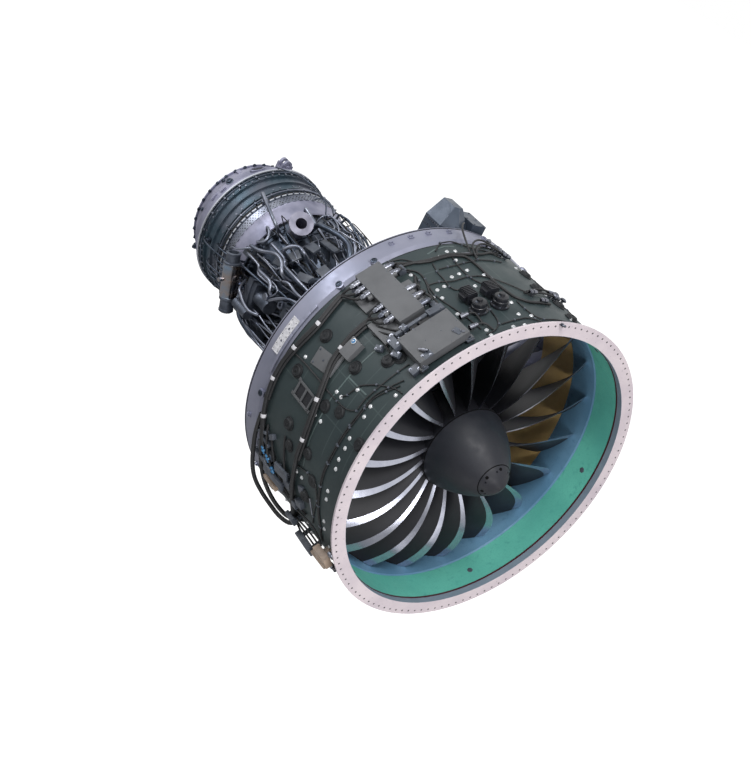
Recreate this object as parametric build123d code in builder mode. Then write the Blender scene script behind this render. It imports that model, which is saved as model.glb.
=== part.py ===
from build123d import *
import os
from math import acos, cos, degrees, pi, radians, sin, tan

os.makedirs("parts", exist_ok=True)

# Driving dimensions in mm. The engine axis is Y, the intake faces -Y and the front flange face is at Y 0.
# A clock angle is in degrees from the top, positive towards -X.
seat = 0.3            # gap between pieces that seat on each other
running_gap = 0.05    # radial gap of a shaft in its bearing

# Fan
blade_count = 20
fan_tip_radius = 1026.0
fan_tip_gap = 4.0
hub_radius = 304.0
platform_thickness = 14.0
platform_split = 0.6
root_front = 285.0
root_back = 560.0
root_neck_width = 24.0
root_foot_width = 46.0
root_neck_depth = 24.0
root_depth = 58.0
root_fit = 0.2
# Leading and trailing edges of a blade at its root, half way up and at its tip
lead_station = (287.0, 232.0, 348.0)
lead_angle = (8.1, 12.6, 7.6)
trail_station = (558.0, 556.0, 530.0)
trail_angle = (-2.9, -8.6, -8.1)
blade_thickness = (34.0, 19.0, 8.0)
blade_bulge = (0.09, 0.07, 0.03)

# Spinner
spinner_tip = -140.0
nose_joint = -57.0
nose_radius = 121.0
spinner_back = root_front - seat
spinner_wall = 7.0

# Fan case and front flange
duct_radius = 1035.0
flange_radius = 1130.0
flange_thickness = 14.0
flange_bolt_circle = 2206.0
flange_bolt_count = 120
flange_hole_radius = 5.0
flange_leg_length = 45.0
liner_thickness = 22.0
case_wall = 25.0
liner_back = 270.0
rub_back = 520.0
case_back = 1000.0
rear_case_back = 1183.0
rear_case_radius = 1095.0

# Guide vanes between the fan case and the core
vane_count = 36
vane_front = 858.0
vane_back = 1075.0
bypass_inner_radius = 560.0
vane_ring_wall = 14.0
vane_chord = 180.0
vane_thickness = 20.0
vane_bulge = 26.0

# Front frame
splitter_lip = 640.0
splitter_radius = 478.0
frame_hub_front = 574.0
frame_hub_radius = 306.0
frame_hub_wall = 10.0
frame_back = 1100.0
frame_strut_count = 8

# Reduction gearbox: sun on the low shaft, stars on a fixed carrier, ring on the fan shaft
gear_module = 7.5
sun_teeth = 20
star_teeth = 20
star_count = 5
gear_pressure_angle = 20.0
gear_backlash = 0.5
gear_front = 692.0
gear_width = 56.0
star_pin_radius = 24.0
ring_gear_wall = 18.0

# Shafts and bearings
low_shaft_radius = 45.0
low_shaft_bore = 30.0
fan_shaft_radius = 110.0
fan_shaft_bore = 84.0
high_shaft_radius = 80.0
high_shaft_bore = 60.0
bearing_wall = 24.0

# Core stations along the axis and radii
booster_front = 800.0
booster_mouth = 434.0
core_joint = 1085.0
compressor_front = 1270.0
compressor_back = 1930.0
combustor_back = 2400.0
turbine_front = 2690.0
exhaust_front = 3005.0
engine_back = 3260.0
core_wall = 8.0
core_flange = 26.0
flange_web = 12.0
compressor_bore = 214.0
exhaust_radius = 436.0
exhaust_front_radius = 500.0
exhaust_hub_radius = 245.0
blade_tip_gap = 2.0


def station(y):
    """The plane across the axis at a station, seen from the intake: local x is +X and local y is +Z."""
    return Plane.XZ.offset(-y)


def clock_point(radius, clock, y):
    """The point at a radius, clock angle and station."""
    turn = radians(clock)
    return Vector(-radius * sin(turn), y, radius * cos(turn))


def outward(radius, clock, y):
    """The plane that touches a cylinder: local x runs aft, local y to a larger clock angle, z outwards."""
    return Plane(clock_point(radius, clock, y), x_dir=(0, 1, 0), z_dir=clock_point(1, clock, 0))


def half_section(points):
    """A closed outline of radius and station, ready to turn about the engine axis."""
    with BuildSketch(Plane.XY) as section:
        with BuildLine():
            Polyline(points, close=True)
        make_face()
    return section.sketch


def around(shape, count, first=0.0):
    """Copies of a shape at equal steps round the engine axis."""
    return [shape.rotate(Axis.Y, -first - 360 / count * step) for step in range(count)]


def along_span(values, span):
    """A value on the smooth curve through its root, middle and tip values."""
    root, middle, tip = values
    return root + (4 * middle - 3 * root - tip) * span + 2 * (root + tip - 2 * middle) * span**2


def bowed_outline(front, back, bulge, thickness):
    """A blade section between two points, bowed to one side of the straight line between them."""
    chord = back - front
    side = Vector(chord.Y, -chord.X).normalized()
    middle = (front + back) * 0.5 + side * bulge
    with BuildLine() as outline:
        ThreePointArc(front, middle + side * (thickness / 2), back)
        ThreePointArc(back, middle - side * (thickness / 2), front)
    return outline.line


# Fan blade: a swept, bowed aerofoil on a platform with a dovetail foot
blade_base = hub_radius - platform_thickness + 3
blade_levels = [blade_base, 430, 580, 740, 900, fan_tip_radius + 14]


def root_outline(extra):
    """The neck and dovetail foot of a blade, looking along the axis."""
    neck = root_neck_width / 2 + extra
    foot = root_foot_width / 2 + extra
    top = hub_radius - platform_thickness / 2
    shoulder = hub_radius - platform_thickness - root_neck_depth
    bottom = hub_radius - platform_thickness - root_depth - extra
    with BuildSketch(Plane.XY) as outline:
        with BuildLine():
            Polyline(
                (neck, top), (neck, shoulder), (foot, bottom + foot - neck), (foot, bottom),
                (-foot, bottom), (-foot, bottom + foot - neck), (-neck, shoulder), (-neck, top),
                close=True,
            )
        make_face()
    return outline.sketch


def ring_sector(inner, outer, half_angle):
    """A piece of a flat ring about the axis, centred on the top."""
    left, right = 90 + half_angle, 90 - half_angle
    with BuildSketch(Plane.XY) as sector:
        with BuildLine():
            low = CenterArc((0, 0), inner, right, left - right)
            high = CenterArc((0, 0), outer, right, left - right)
            Line(low @ 0, high @ 0)
            Line(low @ 1, high @ 1)
        make_face()
    return sector.sketch


with BuildPart() as fan_blade:
    for level in blade_levels:
        span = (level - hub_radius) / (fan_tip_radius - hub_radius)
        lead = radians(along_span(lead_angle, span))
        trail = radians(along_span(trail_angle, span))
        front = Vector(-level * tan(lead), along_span(lead_station, span))
        back = Vector(-level * tan(trail), along_span(trail_station, span))
        bulge = along_span(blade_bulge, span) * (back - front).length
        with BuildSketch(Plane.XY.offset(level)):
            add(bowed_outline(front, back, bulge, along_span(blade_thickness, span)))
            make_face()
    loft()
    Cylinder(fan_tip_radius, 3 * root_back, rotation=(90, 0, 0), mode=Mode.INTERSECT)
    with BuildSketch(station(root_front)):
        add(ring_sector(
            hub_radius - platform_thickness, hub_radius,
            180 / blade_count - degrees(platform_split / 2 / hub_radius),
        ))
        add(root_outline(0))
    extrude(amount=-(root_back - root_front))

for number in range(blade_count):
    turned_blade = fan_blade.part.rotate(Axis.Y, -360 / blade_count * number)
    turned_blade.label = f"fan_blade_{number + 1:02d}"
    export_step(turned_blade, f"parts/fan_blade_{number + 1:02d}.step")

# Fan hub: a disk with a dovetail slot for each blade and a flange for the fan shaft
rim_top = hub_radius - platform_thickness - seat
rim_bottom = rim_top - root_depth - 26
with BuildPart() as fan_hub:
    revolve(half_section([
        (rim_top, root_front), (rim_top, root_back), (rim_bottom, root_back), (rim_bottom - 14, 470),
        (150, 450), (150, 440), (fan_shaft_bore, 440), (fan_shaft_bore, 400), (150, 400), (150, 390),
        (rim_bottom - 14, 370), (rim_bottom, root_front),
    ]), axis=Axis.Y)
    with BuildSketch(station(root_front)):
        with PolarLocations(0, blade_count):
            add(root_outline(root_fit))
    extrude(amount=-(root_back - root_front), mode=Mode.SUBTRACT)
fan_hub.part.label = "fan_hub"
export_step(fan_hub.part, "parts/fan_hub.step")

# Spinner and nose cap: thin cones that meet at a joint, the cap held by recessed screws
with BuildPart() as spinner:
    with BuildSketch(Plane.XY):
        with BuildLine():
            outer = ThreePointArc((nose_radius, nose_joint), (232, 100), (hub_radius, spinner_back))
            Line(outer @ 1, (hub_radius - spinner_wall, spinner_back))
            inner = ThreePointArc(
                (hub_radius - spinner_wall, spinner_back), (225, 104), (nose_radius - 8, nose_joint),
            )
            Line(inner @ 1, outer @ 0)
        make_face()
    revolve(axis=Axis.Y)
    revolve(half_section([
        (hub_radius - spinner_wall + 1, spinner_back), (hub_radius - 40, spinner_back),
        (hub_radius - 40, spinner_back - 6), (hub_radius - spinner_wall - 2, spinner_back - 6),
    ]), axis=Axis.Y)
    revolve(half_section([
        (nose_radius - 6, nose_joint), (nose_radius - 30, nose_joint), (nose_radius - 30, nose_joint + 6),
        (nose_radius - 2, nose_joint + 6),
    ]), axis=Axis.Y)
spinner.part.label = "spinner"
export_step(spinner.part, "parts/spinner.step")

cap_screw_count = 6
with BuildPart() as nose_cap:
    with BuildSketch(Plane.XY):
        with BuildLine():
            skin = ThreePointArc((0, spinner_tip), (66, -110), (nose_radius, nose_joint))
            Polyline(skin @ 1, (0, nose_joint), (0, spinner_tip))
        make_face()
    revolve(axis=Axis.Y)
    revolve(half_section([
        (0, spinner_tip + 32), (38, spinner_tip + 40), (nose_radius - 42, nose_joint), (0, nose_joint),
    ]), axis=Axis.Y, mode=Mode.SUBTRACT)
    with BuildSketch(station(nose_joint - 60)):
        with PolarLocations(nose_radius - 24, cap_screw_count):
            Circle(6)
    extrude(amount=-38, mode=Mode.SUBTRACT)
nose_cap.part.label = "nose_cap"
export_step(nose_cap.part, "parts/nose_cap.step")

# Gear outlines: flanks are involutes taken at the root, pitch and tip of a tooth
def involute_angle(radius, base_radius):
    """The angle that an involute has turned through at a radius."""
    grip = acos(min(1.0, base_radius / radius))
    return tan(grip) - grip


def gear_outline(teeth, tip_radius, root_radius, gap, first_tooth):
    """A spur gear's outline about the origin; first_tooth is where one tooth points, in degrees from local x."""
    pitch_radius = gear_module * teeth / 2
    base_radius = pitch_radius * cos(radians(gear_pressure_angle))
    pitch_half = pi / 2 / teeth - gap / 2 / pitch_radius
    points = []
    for tooth in range(teeth):
        centre = radians(first_tooth) + 2 * pi / teeth * tooth
        half = [
            pitch_half + involute_angle(pitch_radius, base_radius) - involute_angle(r, base_radius)
            for r in (root_radius, pitch_radius, tip_radius)
        ]
        for radius, angle in zip((root_radius, pitch_radius, tip_radius), half):
            points.append((radius * cos(centre - angle), radius * sin(centre - angle)))
        for radius, angle in zip((tip_radius, pitch_radius, root_radius), reversed(half)):
            points.append((radius * cos(centre + angle), radius * sin(centre + angle)))
    with BuildSketch(Plane.XY) as outline:
        with BuildLine():
            Polyline(points, close=True)
        make_face()
    return outline.sketch


ring_teeth = sun_teeth + 2 * star_teeth
sun_pitch_radius = gear_module * sun_teeth / 2
star_pitch_radius = gear_module * star_teeth / 2
star_centre_radius = sun_pitch_radius + star_pitch_radius
ring_pitch_radius = gear_module * ring_teeth / 2
gear_back = gear_front + gear_width
ring_outer_radius = ring_pitch_radius + 1.25 * gear_module + ring_gear_wall

# Fan shaft: a hollow shaft through the fan bearing that opens into the drum of the ring gear
drum_front = gear_front - 37
with BuildPart() as fan_shaft:
    revolve(half_section([
        (fan_shaft_bore, 440), (150, 440 + seat), (150, 452), (fan_shaft_radius, 460),
        (fan_shaft_radius, drum_front), (ring_outer_radius, drum_front),
        (ring_outer_radius, gear_back + 4), (ring_outer_radius - ring_gear_wall, gear_back + 4),
        (ring_outer_radius - ring_gear_wall, drum_front + 12), (fan_shaft_bore, drum_front + 12),
    ]), axis=Axis.Y)
    with BuildSketch(station(gear_front)):
        Circle(ring_outer_radius - ring_gear_wall / 2)
        add(
            gear_outline(
                ring_teeth, ring_pitch_radius + 1.2 * gear_module, ring_pitch_radius - 0.9 * gear_module,
                -gear_backlash, 90 + 180 / ring_teeth,
            ),
            mode=Mode.SUBTRACT,
        )
    extrude(amount=-gear_width)
fan_shaft.part.label = "fan_shaft"
export_step(fan_shaft.part, "parts/fan_shaft.step")

# Star gears: each turns on a carrier pin and shows a tooth gap to the sun and to the ring
for number in range(star_count):
    star_clock = 360 / star_count * number
    centre = clock_point(star_centre_radius, star_clock, 0)
    with BuildPart() as star_gear:
        with BuildSketch(station(gear_front)):
            with Locations((centre.X, centre.Z)):
                add(gear_outline(
                    star_teeth, star_pitch_radius + 0.85 * gear_module, star_pitch_radius - 1.15 * gear_module,
                    gear_backlash, 90 + star_clock + 180 / star_teeth,
                ))
                Circle(star_pin_radius + running_gap, mode=Mode.SUBTRACT)
        extrude(amount=-gear_width)
    star_gear.part.label = f"star_gear_{number + 1}"
    export_step(star_gear.part, f"parts/star_gear_{number + 1}.step")

# Inlet flange: the front bolting ring with a leg that lines the front of the case
liner_radius = duct_radius + liner_thickness
case_inner_radius = liner_radius + seat
case_radius = case_inner_radius + case_wall
with BuildPart() as inlet_flange:
    revolve(half_section([
        (duct_radius, 0), (flange_radius, 0), (flange_radius, flange_thickness),
        (liner_radius, flange_thickness), (liner_radius, flange_leg_length),
        (duct_radius, flange_leg_length),
    ]), axis=Axis.Y)
    with BuildSketch(station(0)):
        with PolarLocations(flange_bolt_circle / 2, flange_bolt_count, start_angle=90 + 180 / flange_bolt_count):
            Circle(flange_hole_radius)
    extrude(amount=-flange_thickness, mode=Mode.SUBTRACT)
inlet_flange.part.label = "inlet_flange"
export_step(inlet_flange.part, "parts/inlet_flange.step")

# Fan case: a composite barrel, recessed at the front for the liner and rub strip and at the back for the vanes
with BuildPart() as fan_case:
    revolve(half_section([
        (case_inner_radius, flange_thickness + seat), (case_radius, flange_thickness + seat),
        (case_radius, case_back), (case_inner_radius, case_back), (case_inner_radius, vane_front - seat),
        (duct_radius, vane_front - seat), (duct_radius, rub_back + seat),
        (case_inner_radius, rub_back + seat),
    ]), axis=Axis.Y)
fan_case.part.label = "fan_case"
export_step(fan_case.part, "parts/fan_case.step")

# Acoustic liner and rub strip, the rings that the case carries inside
with BuildPart() as acoustic_liner:
    revolve(half_section([
        (duct_radius, flange_leg_length + seat), (liner_radius, flange_leg_length + seat),
        (liner_radius, liner_back), (duct_radius, liner_back),
    ]), axis=Axis.Y)
acoustic_liner.part.label = "acoustic_liner"
export_step(acoustic_liner.part, "parts/acoustic_liner.step")

rub_radius = fan_tip_radius + fan_tip_gap
with BuildPart() as rub_strip:
    revolve(half_section([
        (duct_radius, liner_back + seat), (liner_radius, liner_back + seat), (liner_radius, rub_back),
        (duct_radius, rub_back), (rub_radius, rub_back - 12), (rub_radius, liner_back + 12),
    ]), axis=Axis.Y)
rub_strip.part.label = "rub_strip"
export_step(rub_strip.part, "parts/rub_strip.step")

# Rear fan case: a metal ring with a sloping front lip, bolt lugs and a grooved back edge
lug_clocks = [-120, -75, -30, 41, 54.7, 100, 145, 190]
lug_station = 1034.0
lip_back = 1034.0
groove_front = rear_case_back - 18
with BuildPart() as rear_fan_case:
    revolve(half_section([
        (case_inner_radius, case_back + seat), (case_radius - 4, case_back + seat),
        (rear_case_radius, lip_back), (rear_case_radius, groove_front),
        (rear_case_radius - 12, groove_front + 3), (rear_case_radius - 12, rear_case_back - 9),
        (rear_case_radius, rear_case_back - 6), (rear_case_radius, rear_case_back),
        (duct_radius, rear_case_back), (duct_radius, vane_back + seat),
        (case_inner_radius, vane_back + seat),
    ]), axis=Axis.Y)
    for clock in lug_clocks:
        with BuildSketch(outward(rear_case_radius - 12, clock, lug_station)):
            SlotCenterToCenter(26, 44)
        extrude(amount=26)
        with BuildSketch(outward(rear_case_radius + 2, clock, lug_station)):
            Circle(9)
        extrude(amount=14, mode=Mode.SUBTRACT)
rear_fan_case.part.label = "rear_fan_case"
export_step(rear_fan_case.part, "parts/rear_fan_case.step")

# Guide vanes: bowed vanes held between an inner and an outer ring
vane_middle = (vane_front + vane_back) / 2
vane_ring_radius = bypass_inner_radius + vane_ring_wall
with BuildPart() as single_vane:
    with BuildSketch(outward(vane_ring_radius - 4, 0, vane_middle)):
        add(bowed_outline(
            Vector(-vane_chord / 2, 24), Vector(vane_chord / 2, -6), -vane_bulge, vane_thickness,
        ))
        make_face()
    extrude(amount=duct_radius + 8 - vane_ring_radius)
    revolve(half_section([
        (vane_ring_radius + seat, vane_front), (duct_radius - seat, vane_front),
        (duct_radius - seat, vane_back), (vane_ring_radius + seat, vane_back),
    ]), axis=Axis.Y, mode=Mode.INTERSECT)
with BuildPart() as guide_vanes:
    revolve(half_section([
        (bypass_inner_radius, vane_front), (vane_ring_radius, vane_front), (vane_ring_radius, vane_back),
        (bypass_inner_radius, vane_back),
    ]), axis=Axis.Y)
    revolve(half_section([
        (duct_radius, vane_front), (liner_radius, vane_front), (liner_radius, vane_back),
        (duct_radius, vane_back),
    ]), axis=Axis.Y)
    add(around(single_vane.part, vane_count, 5))
guide_vanes.part.label = "guide_vanes"
export_step(guide_vanes.part, "parts/guide_vanes.step")

# Front frame: hub shell with the bearing support, struts across the core intake, and the splitter's outer shell
shell_radius = bypass_inner_radius - seat
bearing_radius = fan_shaft_radius + running_gap + bearing_wall
splitter_mouth = (splitter_radius - 8, splitter_lip + 8)
with BuildPart() as strut:
    with BuildSketch(outward(frame_hub_radius - frame_hub_wall, 0, 725)):
        with BuildLine():
            ThreePointArc((-50, 0), (-5, 9), (50, 0))
            ThreePointArc((50, 0), (-5, -9), (-50, 0))
        make_face()
    extrude(amount=splitter_radius - frame_hub_radius)
    revolve(half_section([
        (frame_hub_radius + seat, frame_hub_front), (splitter_mouth[0] - seat, splitter_mouth[1]),
        (booster_mouth - seat, booster_front - seat), (frame_hub_radius - 14 + seat, booster_front - seat),
    ]), axis=Axis.Y, mode=Mode.INTERSECT)
with BuildPart() as front_frame:
    with BuildSketch(Plane.XY):
        with BuildLine():
            nose = ThreePointArc(splitter_mouth, (splitter_radius - 3, splitter_lip),
                                 (splitter_radius + 4, splitter_lip + 5))
            outer = ThreePointArc(nose @ 1, (splitter_radius + 48, 700), (shell_radius, booster_front))
            Polyline(outer @ 1, (shell_radius, frame_back), (shell_radius - core_wall, frame_back),
                     (shell_radius - core_wall, booster_front + 2), (splitter_radius + 40, 706),
                     (splitter_radius + 2, 672), (booster_mouth + 12, booster_front - flange_web),
                     (booster_mouth + core_wall + core_flange, booster_front - flange_web),
                     (booster_mouth + core_wall + core_flange, booster_front - seat),
                     (booster_mouth, booster_front - seat), nose @ 0)
        make_face()
    revolve(axis=Axis.Y)
    revolve(half_section([
        (frame_hub_radius - frame_hub_wall, frame_hub_front), (frame_hub_radius, frame_hub_front),
        (frame_hub_radius - 14, booster_front - seat), (frame_hub_radius - 14 - frame_hub_wall, booster_front - seat),
    ]), axis=Axis.Y)
    revolve(half_section([
        (bearing_radius + seat, frame_hub_front), (bearing_radius + seat + 16, frame_hub_front),
        (bearing_radius + seat + 16, 592), (frame_hub_radius - frame_hub_wall + 2, 602),
        (frame_hub_radius - frame_hub_wall + 2, 614), (bearing_radius + seat + 16, 614),
        (bearing_radius + seat + 16, 640), (bearing_radius + seat, 640),
    ]), axis=Axis.Y)
    add(around(strut.part, frame_strut_count, 22.5))
front_frame.part.label = "front_frame"
export_step(front_frame.part, "parts/front_frame.step")

# Gear carrier: a fixed plate behind the gears with a pin for each star
carrier_front = gear_back + 24
carrier_back = carrier_front + 18
with BuildPart() as gear_carrier:
    revolve(half_section([
        (low_shaft_radius + 20, carrier_front), (frame_hub_radius - 14 - frame_hub_wall - seat, carrier_front),
        (frame_hub_radius - 14 - frame_hub_wall - seat, carrier_back), (low_shaft_radius + 20, carrier_back),
    ]), axis=Axis.Y)
    with BuildSketch(station(carrier_front)):
        with PolarLocations(star_centre_radius, star_count, start_angle=90):
            Circle(star_pin_radius + 12)
    extrude(amount=carrier_front - gear_back - 2)
    with BuildSketch(station(carrier_front)):
        with PolarLocations(star_centre_radius, star_count, start_angle=90):
            Circle(star_pin_radius)
    extrude(amount=carrier_front - gear_front + 4)
gear_carrier.part.label = "gear_carrier"
export_step(gear_carrier.part, "parts/gear_carrier.step")


def plate_row(root_radius, tip_radius, y, chord, thickness, stagger, count):
    """Blades or vanes of one stage as staggered plates round the axis."""
    with BuildPart() as plate:
        with BuildSketch(outward(root_radius, 0, y)):
            Rectangle(chord, thickness, rotation=stagger)
        extrude(amount=tip_radius - root_radius)
    return around(plate.part, count)


def line_radius(start, end, y):
    """The radius at a station on the straight line between two points of radius and station."""
    return start[0] + (end[0] - start[0]) * (y - start[1]) / (end[1] - start[1])


# Booster: a drum with three stages that turns in a bolted case with two rows of vanes
booster_bore = ((booster_mouth, booster_front), (378.0, core_joint))
booster_drum = ((288.0, booster_front + 12), (262.0, core_joint - 15))
booster_stages = [842.0, 932.0, 1018.0]
booster_vanes = [888.0, 976.0]
booster_blades = 24
stage_chord = 40.0
stage_thickness = 5.0
low_hub_radius = 75.0
with BuildPart() as booster_rotor:
    revolve(half_section([
        booster_drum[0], booster_drum[1], (booster_drum[1][0] - 12, booster_drum[1][1]),
        (booster_drum[1][0] - 10, 1000), (low_hub_radius, 985), (low_hub_radius, 1010),
        (low_shaft_radius + seat, 1010), (low_shaft_radius + seat, 950), (low_hub_radius, 950),
        (low_hub_radius, 970), (booster_drum[1][0] - 8, 984), (booster_drum[0][0] - 12, booster_drum[0][1]),
    ]), axis=Axis.Y)
    for stage in booster_stages:
        add(plate_row(
            line_radius(*booster_drum, stage) - 4, line_radius(*booster_bore, stage + 14) - blade_tip_gap,
            stage, stage_chord, stage_thickness, 40, booster_blades,
        ))
booster_rotor.part.label = "booster_rotor"
export_step(booster_rotor.part, "parts/booster_rotor.step")

with BuildPart() as booster_case:
    front_bore, back_bore = booster_bore[0][0], booster_bore[1][0]
    revolve(half_section([
        booster_bore[0], (front_bore + core_wall + core_flange, booster_front),
        (front_bore + core_wall + core_flange, booster_front + flange_web),
        (front_bore + core_wall, booster_front + flange_web),
        (back_bore + core_wall, core_joint - flange_web),
        (back_bore + core_wall + core_flange, core_joint - flange_web),
        (back_bore + core_wall + core_flange, core_joint), booster_bore[1],
    ]), axis=Axis.Y)
    for row in booster_vanes:
        add(plate_row(
            line_radius(*booster_drum, row) + 8, line_radius(*booster_bore, row) + 4,
            row, stage_chord * 0.75, stage_thickness, -30, booster_blades,
        ))
booster_case.part.label = "booster_case"
export_step(booster_case.part, "parts/booster_case.step")

# Intermediate case: the goose-neck duct behind the booster, with struts, bearing webs and the front mount pad
neck_outer = ((back_bore, core_joint + seat), (compressor_bore, compressor_front))
neck_inner = ((258.0, core_joint + seat), (150.0, compressor_front))
low_bearing_radius = low_shaft_radius + running_gap + bearing_wall
high_bearing_radius = high_shaft_radius + running_gap + bearing_wall
front_bearing_station = 1130.0
high_bearing_station = 1228.0
bearing_length = 30.0
mount_pad_half_width = 110.0
mount_pad_back = 1180.0
mount_pad_top = 600.0
mount_bolt_x = 160.0
mount_bolt_y = 50.0
mount_hole_radius = 10.0
with BuildPart() as neck_struts:
    add(plate_row(150, 400, 1175, 80, 14, 0, 8))
    revolve(half_section([
        (neck_outer[0][0] + 3, neck_outer[0][1]), (neck_outer[1][0] + 3, neck_outer[1][1]),
        (neck_inner[1][0] - 3, neck_inner[1][1]), (neck_inner[0][0] - 3, neck_inner[0][1]),
    ]), axis=Axis.Y, mode=Mode.INTERSECT)
with BuildPart() as intermediate_case:
    revolve(half_section([
        neck_outer[0], (shell_radius - core_wall - seat, neck_outer[0][1]),
        (shell_radius - core_wall - seat, neck_outer[0][1] + flange_web),
        (back_bore + core_wall, neck_outer[0][1] + flange_web),
        (line_radius(*neck_outer, compressor_front - flange_web) + core_wall, compressor_front - flange_web),
        (compressor_bore + core_wall + core_flange, compressor_front - flange_web),
        (compressor_bore + core_wall + core_flange, compressor_front), neck_outer[1],
    ]), axis=Axis.Y)
    revolve(half_section([
        neck_inner[0], neck_inner[1], (neck_inner[1][0] - core_wall, compressor_front),
        (high_bearing_radius + seat + 12, high_bearing_station + bearing_length),
        (high_bearing_radius + seat, high_bearing_station + bearing_length),
        (high_bearing_radius + seat, high_bearing_station),
        (neck_inner[1][0] + 5, high_bearing_station - 14), (neck_inner[0][0] - 45, front_bearing_station + 12),
        (low_bearing_radius + seat + 12, front_bearing_station + bearing_length),
        (low_bearing_radius + seat, front_bearing_station + bearing_length),
        (low_bearing_radius + seat, front_bearing_station),
        (neck_inner[0][0] - 40, front_bearing_station), (neck_inner[0][0] - core_wall, neck_inner[0][1]),
    ]), axis=Axis.Y)
    add(neck_struts.part)
    with BuildSketch(station(neck_outer[0][1] + flange_web - 1)):
        with Locations((0, 457)):
            Rectangle(2 * mount_pad_half_width, 156)
    extrude(amount=-(mount_pad_back - neck_outer[0][1] - flange_web + 1))
    with BuildSketch(station(frame_back + seat)):
        with Locations((0, (534 + mount_pad_top) / 2)):
            Rectangle(2 * mount_pad_half_width, mount_pad_top - 534)
    extrude(amount=-(mount_pad_back - frame_back - seat))
    with BuildSketch(Plane.XY.offset(mount_pad_top)):
        with Locations((0, (frame_back + mount_pad_back) / 2)):
            with GridLocations(mount_bolt_x, mount_bolt_y, 2, 2):
                Circle(mount_hole_radius)
    extrude(amount=-60, mode=Mode.SUBTRACT)
intermediate_case.part.label = "intermediate_case"
export_step(intermediate_case.part, "parts/intermediate_case.step")

# Compressor: a six-stage drum with its shaft, in a ribbed case with vanes
compressor_taper = 8.0
compressor_bore_line = ((compressor_bore, compressor_front + seat), (compressor_bore - compressor_taper, compressor_back))
compressor_drum = ((152.0, compressor_front + 14), (176.0, compressor_back - 50))
compressor_stages = [1310.0 + 100 * stage for stage in range(6)]
compressor_vanes = [1360.0 + 100 * row for row in range(5)]
compressor_blades = 20
drum_wall = 14.0
high_shaft_back = 2580.0
with BuildPart() as high_compressor_rotor:
    revolve(half_section([
        compressor_drum[0], compressor_drum[1], (high_shaft_radius, compressor_back + 10),
        (high_shaft_radius, high_shaft_back), (high_shaft_bore, high_shaft_back),
        (high_shaft_bore, compressor_back + 4),
        (compressor_drum[1][0] - drum_wall, compressor_drum[1][1] - 6),
        (compressor_drum[0][0] - drum_wall, compressor_front + 40),
        (high_shaft_bore, compressor_front + 30), (high_shaft_bore, high_bearing_station - 8),
        (high_shaft_radius, high_bearing_station - 8), (high_shaft_radius, compressor_front + 14),
    ]), axis=Axis.Y)
    for stage in compressor_stages:
        add(plate_row(
            line_radius(*compressor_drum, stage) - 4, line_radius(*compressor_bore_line, stage + 14) - blade_tip_gap,
            stage, stage_chord * 0.9, stage_thickness, 35, compressor_blades,
        ))
high_compressor_rotor.part.label = "high_compressor_rotor"
export_step(high_compressor_rotor.part, "parts/high_compressor_rotor.step")

case_outer = compressor_bore + core_wall
with BuildPart() as compressor_case:
    revolve(half_section([
        compressor_bore_line[0], (case_outer + core_flange, compressor_bore_line[0][1]),
        (case_outer + core_flange, compressor_bore_line[0][1] + flange_web),
        (case_outer, compressor_bore_line[0][1] + flange_web), (case_outer, compressor_back - flange_web),
        (case_outer + core_flange, compressor_back - flange_web), (case_outer + core_flange, compressor_back),
        compressor_bore_line[1],
    ]), axis=Axis.Y)
    for row in compressor_vanes:
        revolve(half_section([
            (case_outer - 2, row - 9), (case_outer + 16, row - 9), (case_outer + 16, row + 9),
            (case_outer - 2, row + 9),
        ]), axis=Axis.Y)
        add(plate_row(
            line_radius(*compressor_drum, row) + 8, line_radius(*compressor_bore_line, row) + 4,
            row, stage_chord * 0.7, stage_thickness, -28, compressor_blades,
        ))
compressor_case.part.label = "compressor_case"
export_step(compressor_case.part, "parts/compressor_case.step")

# Diffuser case: the shell round the combustor, with injectors, an inner bearing support and the turbine shroud
shroud_radius = 279.0
shroud_front = combustor_back
shroud_back = 2600.0
cone_front = (294.0, 1990.0)
cone_back = (388.0, 2080.0)
chamber_front = (416.0, 2200.0)
chamber_back = (424.0, 2400.0)
skirt_front = (442.0, 2560.0)
skirt_back = (470.0, turbine_front)
core_shell = [
    (cone_front[0] + core_wall, cone_front[1] - 5), (cone_back[0] + core_wall, cone_back[1] - 5),
    (chamber_front[0] + core_wall, chamber_front[1]), (chamber_back[0] + core_wall, chamber_back[1]),
    (skirt_front[0] + core_wall, skirt_front[1]), (skirt_back[0] + core_wall, turbine_front - flange_web),
]
injector_count = 16
injector_station = 2056.0
rear_bearing_station = 2000.0
with BuildPart() as diffuser_struts:
    add(plate_row(180, 400, 1972, 44, 12, 0, 10))
    revolve(half_section([
        (184, 1940), (230, 1940), (cone_front[0] + 4, cone_front[1]), (cone_back[0] + 4, cone_back[1]),
        (184, cone_back[1]),
    ]), axis=Axis.Y, mode=Mode.INTERSECT)
bleed_root = clock_point(400, 40, 2364)
bleed_radius = 40.0
with BuildPart() as injector:
    with BuildSketch(outward(300, 0, injector_station)):
        Circle(9)
    extrude(amount=100)
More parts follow.
